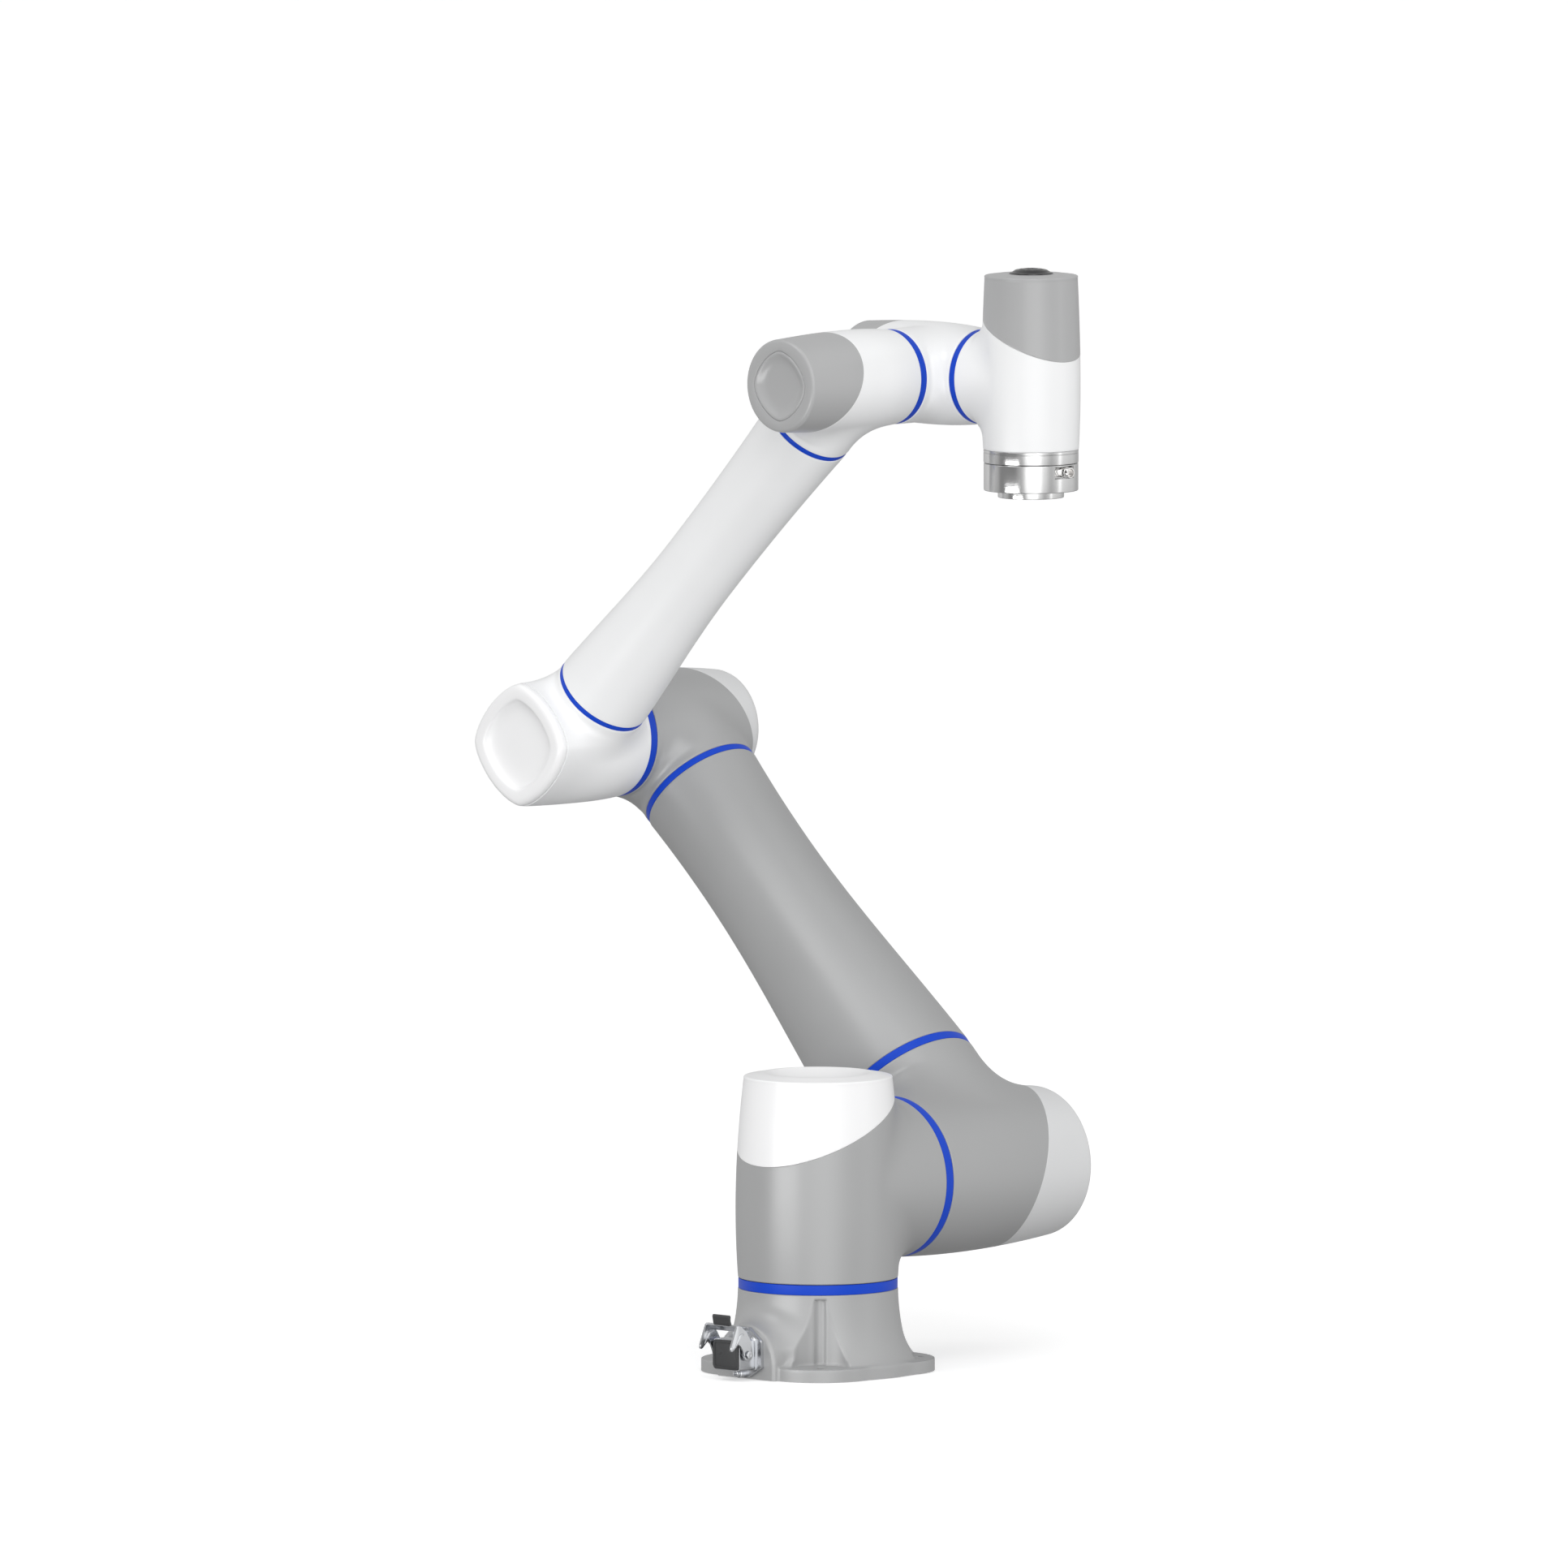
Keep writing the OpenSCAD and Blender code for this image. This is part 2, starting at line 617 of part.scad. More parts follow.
/* Wrist */
module wrist_1_housing()
    color("white") at_wrist_1()
        housing(wrist_1_size, wrist_1_tail, wrist_1_reach, wrist_1_cable_r, wrist_end_wall);
module wrist_1_cap() color("darkgray") at_wrist_1() cap(wrist_1_size, wrist_1_tail);
module wrist_1_seal_ring()
    at_j4() seal_ring(small_r, bore_r(wrist_1_size), wrist_1_ring_w);
module wrist_2_housing()
    color("white") at_wrist_2()
        housing(wrist_2_size, wrist_2_tail, wrist_2_reach, wrist_cable_r, wrist_end_wall);
module wrist_2_cap() color("darkgray") at_wrist_2() cap(wrist_2_size, wrist_2_tail);
module wrist_2_seal_ring()
    at_j5() seal_ring(small_r, bore_r(wrist_2_size), wrist_2_ring_w);
module wrist_3_housing()
    color("white") at_wrist_3()
        housing(wrist_3_size, wrist_3_tail, wrist_3_reach, wrist_cable_r, wrist_end_wall);
module wrist_3_cap() {
    color("darkgray") at_wrist_3() difference() {
        cap(wrist_3_size, wrist_3_tail);
        translate([0, 0, bezel_foot - 20]) cylinder(r = button_r + button_gap + 1, h = 40);
    }
}

module wrist_3_end_ring()
    color("silver") at_j6() ring(small_r - 0.3, bore_r(wrist_3_size), end_ring_w);

// Black collar in the dish of the third wrist's cap, with a floor under the button
module button_bezel() {
    outer_r = 20.8;
    floor_z = bezel_foot - small_wall;
    h = 5.8;
    color("#1c1c1e") at_wrist_3() difference() {
        union() {
            translate([0, 0, bezel_foot]) rotate_extrude()
                polygon([[0, 0], [dish_floor * wrist_3_size[RIM], 0], [outer_r - 4, 3.4],
                    [outer_r, 5], [outer_r - 1.2, 6.6], [button_r + 2, h + 3], [0, h + 3]]);
            translate([0, 0, floor_z]) cylinder(r = button_r + button_gap + 0.9, h = 10);
        }
        translate([0, 0, floor_z + 2]) cylinder(r = button_r + button_gap, h = 40);
    }
}

module guide_button() {
    foot = bezel_foot - small_wall + 2 + button_travel_room;
    top = bezel_foot + 9.4;
    color("#101012") at_wrist_3() difference() {
        translate([0, 0, foot]) rotate_extrude()
            polygon([[0, 0], [button_r, 0], [button_r, top - foot - 1.5],
                [button_r - 1.5, top - foot - 0.4], [button_r - 4, top - foot], [0, top - foot]]);
        translate([0, 0, top - 0.8]) cylinder(r = 5, h = 2);
    }
}

/* Tool side */
module tool_flange() {
    body_r = 45;
    boss_z = -flange_body_h;
    pilot_depth = 6.2;
    screw_depth = 12;
    cable_r = 7;
    color("silver") translate([tool_x, wrist_2_y, wrist_z - wrist_3_tail - end_ring_w - running_gap])
        difference() {
            union() {
                translate([0, 0, boss_z + tool_boss_h])
                    cylinder(r = body_r, h = flange_body_h - tool_boss_h);
                translate([0, 0, boss_z]) cylinder(d = tool_d, h = flange_body_h);
            }
            translate([0, 0, boss_z - cut]) cylinder(d = pilot_d, h = pilot_depth + cut);
            translate([0, 0, boss_z - cut]) cylinder(r = cable_r, h = flange_body_h + 2 * cut);
            for (turn = [45 : 90 : 315]) rotate([0, 0, turn])
                translate([tool_circle_d / 2, 0, boss_z - cut])
                    cylinder(d = tool_hole_d, h = screw_depth + cut);
            translate([tool_circle_d / 2, 0, boss_z - cut])
                cylinder(d = dowel_d, h = pilot_depth + cut);
            // flat recess for the tool socket
            translate([tool_recess_x, -tool_recess_w / 2,
                end_ring_w + running_gap - tool_socket_drop - tool_recess_h / 2])
                cube([20, tool_recess_w, tool_recess_h]);
        }
}

// Small round socket for the tool's cable, pointing away from the arm
module tool_socket() {
    z = wrist_z - wrist_3_tail - tool_socket_drop;
    nut_t = 3;
    neck_t = 8;
    sleeve_t = 8;
    color("gainsboro") translate([tool_x + tool_recess_x, wrist_2_y, z]) rotate([0, 90, 0])
        difference() {
            union() {
                cylinder(r = 5.6, h = nut_t, $fn = 6);
                cylinder(r = 4.5, h = neck_t);
                translate([0, 0, neck_t]) cylinder(r = 5.2, h = sleeve_t);
            }
            translate([0, 0, neck_t - 1]) cylinder(r = 3.7, h = sleeve_t + 1 + cut);
        }
}

/* Drives: each joint has the same four pieces, sized from the bore that holds them */
module j1_output() at_j1() drive_output(bore_r(shoulder_size), base_ring_w);
module j1_spline() at_j1() drive_spline(bore_r(shoulder_size));
module j1_stator() at_j1() drive_stator(bore_r(shoulder_size));
module j1_rotor() at_j1() drive_rotor(bore_r(shoulder_size));
module j2_output() at_j2() drive_output(bore_r(upper_arm_size), shoulder_ring_w);
module j2_spline() at_j2() drive_spline(bore_r(upper_arm_size));
module j2_stator() at_j2() drive_stator(bore_r(upper_arm_size));
module j2_rotor() at_j2() drive_rotor(bore_r(upper_arm_size));
module j3_output() at_j3() drive_output(bore_r(elbow_size), elbow_ring_w);
module j3_spline() at_j3() drive_spline(bore_r(elbow_size));
module j3_stator() at_j3() drive_stator(bore_r(elbow_size));
module j3_rotor() at_j3() drive_rotor(bore_r(elbow_size));
module j4_output() at_j4() drive_output(bore_r(wrist_1_size), wrist_1_ring_w);
module j4_spline() at_j4() drive_spline(bore_r(wrist_1_size));
module j4_stator() at_j4() drive_stator(bore_r(wrist_1_size));
module j4_rotor() at_j4() drive_rotor(bore_r(wrist_1_size));
module j5_output() at_j5() drive_output(bore_r(wrist_2_size), wrist_2_ring_w);
module j5_spline() at_j5() drive_spline(bore_r(wrist_2_size));
module j5_stator() at_j5() drive_stator(bore_r(wrist_2_size));
module j5_rotor() at_j5() drive_rotor(bore_r(wrist_2_size));
module j6_output() at_j6() drive_output(bore_r(wrist_3_size), running_gap);
module j6_spline() at_j6() drive_spline(bore_r(wrist_3_size));
module j6_stator() at_j6() drive_stator(bore_r(wrist_3_size));
module j6_rotor() at_j6() drive_rotor(bore_r(wrist_3_size));

base_casting();
base_seal_ring();
connector_shell();
connector_insert();
connector_cover();
connector_screws();
connector_lever();
shoulder_housing();
shoulder_cap();
shoulder_seal_ring();
upper_arm_housing();
upper_arm_cap();
upper_arm_lower_ring();
upper_arm_tube();
upper_arm_upper_ring();
elbow_housing();
elbow_cap();
elbow_seal_ring();
forearm_housing();
forearm_cap();
forearm_lower_ring();
forearm_tube();
forearm_upper_ring();
wrist_1_housing();
wrist_1_cap();
wrist_1_seal_ring();
wrist_2_housing();
wrist_2_cap();
wrist_2_seal_ring();
wrist_3_housing();
wrist_3_cap();
wrist_3_end_ring();
button_bezel();
guide_button();
tool_flange();
tool_socket();
j1_output();
j1_spline();
j1_stator();
j1_rotor();
j2_output();
j2_spline();
j2_stator();
j2_rotor();
j3_output();
j3_spline();
j3_stator();
j3_rotor();
j4_output();
j4_spline();
j4_stator();
j4_rotor();
j5_output();
j5_spline();
j5_stator();
j5_rotor();
j6_output();
j6_spline();
j6_stator();
j6_rotor();
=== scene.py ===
"""Looks of the collaborative robot arm: smooth castings, caps, seal rings and socket details.

Every shape is drawn in millimetres in a place of its own. A casting's place has its barrel along
+Z, with the cap at the top, and its neck along +Y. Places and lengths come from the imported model.
"""
import json
import math

import bmesh
import bpy
import numpy as np
from mathutils import Matrix, Vector


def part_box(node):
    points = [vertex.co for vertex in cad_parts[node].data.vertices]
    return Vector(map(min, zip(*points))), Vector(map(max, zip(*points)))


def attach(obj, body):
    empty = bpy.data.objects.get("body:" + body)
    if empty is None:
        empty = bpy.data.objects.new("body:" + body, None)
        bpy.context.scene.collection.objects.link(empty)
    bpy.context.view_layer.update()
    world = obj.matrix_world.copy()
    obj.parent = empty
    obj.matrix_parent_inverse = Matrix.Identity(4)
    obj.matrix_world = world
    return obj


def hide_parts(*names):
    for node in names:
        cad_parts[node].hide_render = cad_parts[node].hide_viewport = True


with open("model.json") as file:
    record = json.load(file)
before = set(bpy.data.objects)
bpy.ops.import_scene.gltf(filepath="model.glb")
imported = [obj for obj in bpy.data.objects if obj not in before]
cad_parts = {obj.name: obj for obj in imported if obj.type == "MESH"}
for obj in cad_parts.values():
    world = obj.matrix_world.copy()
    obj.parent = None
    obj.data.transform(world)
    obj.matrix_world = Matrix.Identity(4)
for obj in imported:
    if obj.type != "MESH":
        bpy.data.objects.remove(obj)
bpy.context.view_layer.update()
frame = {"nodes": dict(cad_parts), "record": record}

MM = 0.001
TURN = 2 * math.pi
NODES = frame["nodes"]
RECORD = frame["record"]
JOINTS = {j["name"]: j for j in RECORD["behaviour"]["joints"]}
MOUNTS = {m["name"]: m["dims"] for m in RECORD["mounts"]}
SLOT_OF = {s["node"]: s["material_slot"] for s in RECORD["subparts"]}
BODY_OF = {node: body for body, nodes in RECORD["behaviour"]["bodies"].items() for node in nodes}
X, Y, Z = Vector((1, 0, 0)), Vector((0, 1, 0)), Vector((0, 0, 1))


# ---------------------------------------------------------------- camera, lights and floor

VIEW_AZIMUTH = math.radians(43.5)
VIEW_ELEVATION = math.radians(5.4)
VIEW_DISTANCE = 30.0            # far away, because the picture has almost no perspective
VIEW_WIDTH = 1.486              # what the picture is wide at the arm
LOOK_AT = Vector((-0.0234, -0.0222, 0.5585))
FLOOR_HALF = 40.0
FLOOR_DROP = 0.0005             # keeps the base off the floor's plane


def view_direction(azimuth, elevation):
    """From the arm towards someone who stands at that azimuth and elevation."""
    flat = math.cos(elevation)
    return Vector((math.sin(azimuth) * flat, -math.cos(azimuth) * flat, math.sin(elevation)))


def add_camera():
    data = bpy.data.cameras.new("camera")
    data.sensor_width = 36
    data.lens = data.sensor_width * VIEW_DISTANCE / VIEW_WIDTH
    data.clip_start, data.clip_end = 1, 300
    back = view_direction(VIEW_AZIMUTH, VIEW_ELEVATION)
    cam = bpy.data.objects.new("camera", data)
    cam.location = LOOK_AT + back * VIEW_DISTANCE
    cam.rotation_euler = back.to_track_quat("Z", "Y").to_euler()
    bpy.context.collection.objects.link(cam)
    bpy.context.scene.camera = cam


def add_softbox(name, azimuth, elevation, distance, size, power, target=LOOK_AT):
    """Rectangular area light that faces the arm, or another target."""
    data = bpy.data.lights.new(name, "AREA")
    data.shape = "RECTANGLE"
    data.size, data.size_y = size
    data.energy = power
    back = view_direction(math.radians(azimuth), math.radians(elevation))
    lamp = bpy.data.objects.new(name, data)
    lamp.location = target + back * distance
    lamp.rotation_euler = back.to_track_quat("Z", "Y").to_euler()
    bpy.context.collection.objects.link(lamp)


# Brightness of the surroundings by azimuth, in degrees from the camera's side: a broad card in
# front, dark stretches beside it and a narrow strip on the right
STUDIO_CARDS = ((-180, 0.5), (-115, 0.8), (-92, 0.55), (-78, 0.28), (-42, 0.26), (-24, 0.55),
                (-7, 1.7), (17, 2.0), (32, 1.0), (50, 0.6), (66, 0.8), (75, 1.6), (84, 0.95),
                (112, 0.8), (150, 0.5), (180, 0.5))


def add_world(brightest=2.0):
    """Surroundings of light and dark cards, which look fully white themselves."""
    world = bpy.data.worlds.new("studio")
    world.use_nodes = True
    nodes, links = world.node_tree.nodes, world.node_tree.links
    place = nodes.new("ShaderNodeTexCoord")
    split = nodes.new("ShaderNodeSeparateXYZ")
    links.new(place.outputs["Generated"], split.inputs[0])
    azimuth = nodes.new("ShaderNodeMath")
    azimuth.operation = "ARCTAN2"
    links.new(split.outputs["Y"], azimuth.inputs[0])
    links.new(split.outputs["X"], azimuth.inputs[1])
    share = nodes.new("ShaderNodeMath")
    share.operation = "MULTIPLY_ADD"
    share.inputs[1].default_value = 1 / TURN
    share.inputs[2].default_value = 0.75 - VIEW_AZIMUTH / TURN + 1
    links.new(azimuth.outputs[0], share.inputs[0])
    wrapped = nodes.new("ShaderNodeMath")
    wrapped.operation = "FRACT"
    links.new(share.outputs[0], wrapped.inputs[0])
    cards = nodes.new("ShaderNodeValToRGB")
    cards.color_ramp.interpolation = "EASE"
    steps = cards.color_ramp.elements
    while len(steps) < len(STUDIO_CARDS):
        steps.new(0.5)
    for step, (angle, light) in zip(steps, STUDIO_CARDS):
        step.position = angle / 360 + 0.5
        step.color = [light / brightest] * 3 + [1]
    links.new(wrapped.outputs[0], cards.inputs[0])
    soft = nodes["Background"]
    height = nodes.new("ShaderNodeMapRange")        # the room gets darker below the horizon
    height.inputs["From Min"].default_value = -0.6
    height.inputs["From Max"].default_value = -0.1
    height.inputs["To Min"].default_value = 0.5 * brightest
    height.inputs["To Max"].default_value = brightest
    links.new(split.outputs["Z"], height.inputs["Value"])
    links.new(height.outputs["Result"], soft.inputs["Strength"])
    links.new(cards.outputs["Color"], soft.inputs["Color"])
    seen = nodes.new("ShaderNodeBackground")
    seen.inputs["Color"].default_value = (1, 1, 1, 1)
    ray = nodes.new("ShaderNodeLightPath")
    choice = nodes.new("ShaderNodeMixShader")
    links.new(ray.outputs["Is Camera Ray"], choice.inputs[0])
    links.new(soft.outputs["Background"], choice.inputs[1])
    links.new(seen.outputs["Background"], choice.inputs[2])
    links.new(choice.outputs["Shader"], nodes["World Output"].inputs["Surface"])
    bpy.context.scene.world = world


def add_floor():
    mesh = bpy.data.meshes.new("floor")
    corners = [(x * FLOOR_HALF, y * FLOOR_HALF, 0) for x, y in ((-1, -1), (1, -1), (1, 1), (-1, 1))]
    mesh.from_pydata(corners, [], [(0, 1, 2, 3)])
    floor = bpy.data.objects.new("floor", mesh)
    floor.location = (0, 0, -FLOOR_DROP)
    bpy.context.collection.objects.link(floor)
    paper = bpy.data.materials.new("pale_floor")
    paper.use_nodes = True
    bsdf = paper.node_tree.nodes["Principled BSDF"]
    bsdf.inputs["Base Color"].default_value = (0.85, 0.85, 0.85, 1)
    bsdf.inputs["Roughness"].default_value = 0.9
    bsdf.inputs["Emission Color"].default_value = (1, 1, 1, 1)
    bsdf.inputs["Emission Strength"].default_value = 0.36
    mesh.materials.append(paper)
    floor.visible_diffuse = floor.visible_glossy = False     # its glow doesn't light the arm


add_camera()
add_world()
add_softbox("key", 74, 24, 5.0, (2.2, 2.2), 14)
add_softbox("fill", -18, 56, 5.0, (2.2, 2.2), 46)
add_softbox("top", 43, 85, 4.0, (3.0, 3.0), 5)
add_softbox("low_strip", -2, 0, 1.8, (1.2, 0.6), 13, Vector((0, 0, 0.15)))  # lights the base
add_floor()
bpy.context.scene.view_settings.view_transform = "Standard"


# ---------------------------------------------------------------- places

def turned(origin, neck, barrel):
    """A place: its origin, its Y direction and its Z direction."""
    y, z = Vector(neck).normalized(), Vector(barrel).normalized()
    place = Matrix((y.cross(z), y, z)).transposed().to_4x4()
    place.translation = Vector(origin)
    return place


def box_mid(node, axis):
    low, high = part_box(node)
    return (low[axis] + high[axis]) / 2 / MM


def joint_point(name):
    return Vector(JOINTS[name]["pos_m"]) / MM


shoulder_axis = joint_point("j2_shoulder")
elbow_axis = joint_point("j3_elbow")
wrist_axis = joint_point("j4_wrist")
tool_axis = joint_point("j6_tool")
upper_y = box_mid("upper_arm_lower_ring", 1)
fore_y = box_mid("forearm_lower_ring", 1)
wrist_y = box_mid("wrist_2_seal_ring", 1)
shoulder_at = Vector((0, 0, shoulder_axis.z))
upper_arm_at = Vector((0, upper_y, shoulder_axis.z))
elbow_at = Vector((elbow_axis.x, upper_y, elbow_axis.z))
forearm_at = Vector((elbow_axis.x, fore_y, elbow_axis.z))
wrist_1_at = Vector((wrist_axis.x, fore_y, wrist_axis.z))
wrist_2_at = Vector((wrist_axis.x, wrist_y, wrist_axis.z))
wrist_3_at = Vector((tool_axis.x, wrist_y, wrist_axis.z))
upper_arm_way = elbow_at - upper_arm_at
forearm_way = wrist_1_at - forearm_at

PLACES = {
    "base": turned((0, 0, 0), Y, Z),
    "shoulder": turned(shoulder_at, Y, Z),
    "upper_arm": turned(upper_arm_at, upper_arm_way, Y),
    "elbow": turned(elbow_at, -upper_arm_way, Y),
    "forearm": turned(forearm_at, forearm_way, -Y),
    "wrist_1": turned(wrist_1_at, -forearm_way, -Y),
    "wrist_2": turned(wrist_2_at, -Y, -X),
    "wrist_3": turned(wrist_3_at, -X, Z),
    "upper_tube": turned(upper_arm_at, Y, upper_arm_way),
    "fore_tube": turned(forearm_at, Y, forearm_way),
}


def span(node, place):
    """Lowest and highest corner of a CAD node in a place, in millimetres."""
    points = np.array([v.co[:] for v in NODES[node].data.vertices]) / MM
    inverse = np.array(place.inverted())
    points = points @ inverse[:3, :3].T + inverse[:3, 3]
    return points.min(axis=0), points.max(axis=0)


# ---------------------------------------------------------------- materials

def material(name, color, roughness, metallic=0.0, coat=0.0, grain=700.0, bump=0.06, tint=0.02,
             specular=0.5, turned_along=None):
    """Principled material with fine surface grain, slight colour drift and uneven polish."""
    m = bpy.data.materials.new(name)
    m.use_nodes = True
    nodes, links = m.node_tree.nodes, m.node_tree.links
    bsdf = nodes["Principled BSDF"]
    bsdf.inputs["Metallic"].default_value = metallic
    bsdf.inputs["Specular IOR Level"].default_value = specular
    bsdf.inputs["Coat Weight"].default_value = coat
    bsdf.inputs["Coat Roughness"].default_value = 0.2
    place = nodes.new("ShaderNodeTexCoord")
    fine = nodes.new("ShaderNodeTexNoise")
    fine.inputs["Scale"].default_value = grain
    fine.inputs["Detail"].default_value = 3
    broad = nodes.new("ShaderNodeTexNoise")
    broad.inputs["Scale"].default_value = 14
    broad.inputs["Detail"].default_value = 2
    for noise in (fine, broad):
        links.new(place.outputs["Object"], noise.inputs["Vector"])

    drift = nodes.new("ShaderNodeMix")
    drift.data_type = "RGBA"
    drift.inputs[6].default_value = [c * (1 - tint) for c in color] + [1]
    drift.inputs[7].default_value = [min(1, c * (1 + tint)) for c in color] + [1]
    links.new(broad.outputs["Fac"], drift.inputs[0])
    links.new(drift.outputs[2], bsdf.inputs["Base Color"])

    polish = nodes.new("ShaderNodeMapRange")
    polish.inputs["To Min"].default_value = roughness * 0.85
    polish.inputs["To Max"].default_value = roughness * 1.15
    links.new(broad.outputs["Fac"], polish.inputs["Value"])
    links.new(polish.outputs["Result"], bsdf.inputs["Roughness"])

    relief = nodes.new("ShaderNodeBump")
    relief.inputs["Strength"].default_value = bump
    relief.inputs["Distance"].default_value = 0.0004
    links.new(fine.outputs["Fac"], relief.inputs["Height"])
    links.new(relief.outputs["Normal"], bsdf.inputs["Normal"])
    if turned_along:
        add_turning_marks(m, place, relief, turned_along)
    return m


def add_turning_marks(m, place, relief, axis):
    """Fine lathe marks that run round one axis."""
    nodes, links = m.node_tree.nodes, m.node_tree.links
    stretch = nodes.new("ShaderNodeMapping")
    stretch.inputs["Scale"].default_value = [2600 if a == axis else 6 for a in "XYZ"]
    marks = nodes.new("ShaderNodeTexNoise")
    marks.inputs["Scale"].default_value = 1
    marks.inputs["Detail"].default_value = 2
    links.new(place.outputs["Object"], stretch.inputs["Vector"])
    links.new(stretch.outputs["Vector"], marks.inputs["Vector"])
    lines = nodes.new("ShaderNodeBump")
    lines.inputs["Strength"].default_value = 0.08
    lines.inputs["Distance"].default_value = 0.0003
    links.new(marks.outputs["Fac"], lines.inputs["Height"])
    links.new(relief.outputs["Normal"], lines.inputs["Normal"])
    links.new(lines.outputs["Normal"], nodes["Principled BSDF"].inputs["Normal"])


MATERIALS = {
    "grey_casting": material("grey_paint", (0.385, 0.388, 0.39), 0.42, 0.2, 0.08),
    "white_casting": material("white_paint", (0.875, 0.88, 0.885), 0.36, 0.0, 0.2),
    "white_cap": material("white_moulding", (0.88, 0.88, 0.885), 0.3, 0.0, 0.1, 1200),
    "pale_cap": material("pale_moulding", (0.66, 0.665, 0.67), 0.35, 0.0, 0.1, 1200),
    "grey_cap": material("grey_moulding", (0.41, 0.412, 0.415), 0.3, 0.0, 0.25, 1200),
    "blue_seal": material("blue_rubber", (0.003, 0.055, 0.54), 0.42, tint=0.06, specular=0.22),
    "bare_metal": material("turned_metal", (0.7, 0.7, 0.7), 0.15, 1.0, turned_along="Z"),
    "plated_metal": material("plated_steel", (0.62, 0.63, 0.65), 0.24, 1.0, grain=260, bump=0.01),
    "plated_brass": material("plated_brass", (0.82, 0.81, 0.8), 0.15, 1.0, grain=260),
    "black_plastic": material("black_plastic", (0.045, 0.046, 0.048), 0.48, grain=2200, bump=0.1,
                              tint=0.1),
    "black_gloss": material("black_gloss", (0.012, 0.012, 0.013), 0.16, 0.0, 0.5, tint=0.1),
    "gear_steel": material("gear_steel", (0.45, 0.45, 0.47), 0.35, 1.0, turned_along="Z"),
    "motor_core": material("motor_core", (0.4, 0.22, 0.12), 0.45, 0.8, grain=1500, bump=0.3),
}


def add_piece(name, bm, place, *nodes, sharp=40, slot=None):
    """Turns a mesh drawn in a place into a piece that stands for its nodes and moves as they do."""
    bmesh.ops.remove_doubles(bm, verts=bm.verts, dist=1e-4)
    bmesh.ops.recalc_face_normals(bm, faces=bm.faces)
    bm.transform(Matrix.Scale(MM, 4) @ place)
    for face in bm.faces:
        face.smooth = True
    mesh = bpy.data.meshes.new(name)
    bm.to_mesh(mesh)
    bm.free()
    mesh.set_sharp_from_angle(angle=math.radians(sharp))
    obj = bpy.data.objects.new(name, mesh)
    bpy.context.collection.objects.link(obj)
    slot = slot or SLOT_OF[nodes[0]]
    mesh.materials.append(MATERIALS[slot])
    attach(obj, BODY_OF[nodes[0]])
    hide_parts(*nodes)
    return obj


def join(*meshes):
    """One mesh of several."""
    whole = bmesh.new()
    for bm in meshes:
        part = bpy.data.meshes.new("part")
        bm.to_mesh(part)
        bm.free()
        whole.from_mesh(part)
        bpy.data.meshes.remove(part)
    return whole


# ---------------------------------------------------------------- outlines and turned shapes

def arc(centre, radius, start, end, steps=6):
    """Points on an arc, with its angles in degrees."""
    return [(centre[0] + radius * math.cos(math.radians(a)),
             centre[1] + radius * math.sin(math.radians(a)))
            for a in np.linspace(start, end, steps)]


def curve(a, b, c, d, steps=24):
    """Points on a curve that leaves a towards b and arrives at d from c."""
    a, b, c, d = (np.array(p, float) for p in (a, b, c, d))
    t = np.linspace(0, 1, steps)[:, None]
    points = (1 - t)**3 * a + 3 * (1 - t)**2 * t * b + 3 * (1 - t) * t**2 * c + t**3 * d
    return [tuple(p) for p in points]


def rounded(outline, radius, steps=5):
    """The outline with its corners rounded."""
    result = []
    for before, at, after in zip(outline[-1:] + outline[:-1], outline, outline[1:] + outline[:1]):
        before, at, after = (np.array(p, float) for p in (before, at, after))
        reach = [min(radius, 0.45 * np.linalg.norm(p - at)) for p in (before, after)]
        start = at + (before - at) / np.linalg.norm(before - at) * reach[0]
        end = at + (after - at) / np.linalg.norm(after - at) * reach[1]
        for t in np.linspace(0, 1, steps):
            result.append(tuple((1 - t)**2 * start + 2 * t * (1 - t) * at + t * t * end))
    return result


def lathe(profile, sections=160, shape=None):
    """Turns (radius, height) points round Z. shape(angle, radius, height) scales the radius."""
    bm = bmesh.new()
    rows = []
    for r, z in profile:
        if r < 1e-6:
            rows.append([bm.verts.new((0, 0, z))] * sections)
            continue
        row = []
        for i in range(sections):
            angle = TURN * i / sections
            s = r * (shape(angle, r, z) if shape else 1)
            row.append(bm.verts.new((s * math.cos(angle), s * math.sin(angle), z)))
        rows.append(row)
    for low, high in zip(rows, rows[1:]):
        for i in range(sections):
            j = (i + 1) % sections
            corners = list(dict.fromkeys((low[i], low[j], high[j], high[i])))
            if len(corners) > 2:
                bm.faces.new(corners)
    return bm


def ring_outline(outer, inner, low, high, edge):
    """Closed section of a ring with rounded outer edges."""
    return ([(inner, low)] + arc((outer - edge, low + edge), edge, -90, 0)
            + arc((outer - edge, high - edge), edge, 0, 90) + [(inner, high), (inner, low)])


def prism(outline, low, high, bevel=0.5):
    """Solid over a closed outline between two heights, with small rounded edges."""
    bm = bmesh.new()
    floor = [bm.verts.new((x, y, low)) for x, y in outline]
    roof = [bm.verts.new((x, y, high)) for x, y in outline]
    count = len(outline)
    for i in range(count):
        j = (i + 1) % count
        bm.faces.new((floor[i], floor[j], roof[j], roof[i]))
    bm.faces.new(floor[::-1])
    bm.faces.new(roof)
    rims = [e for e in bm.edges if abs(e.verts[0].co.z - e.verts[1].co.z) < 1e-6]
    bmesh.ops.bevel(bm, geom=rims, offset=bevel, segments=3, affect="EDGES", profile=0.5)
    return bm


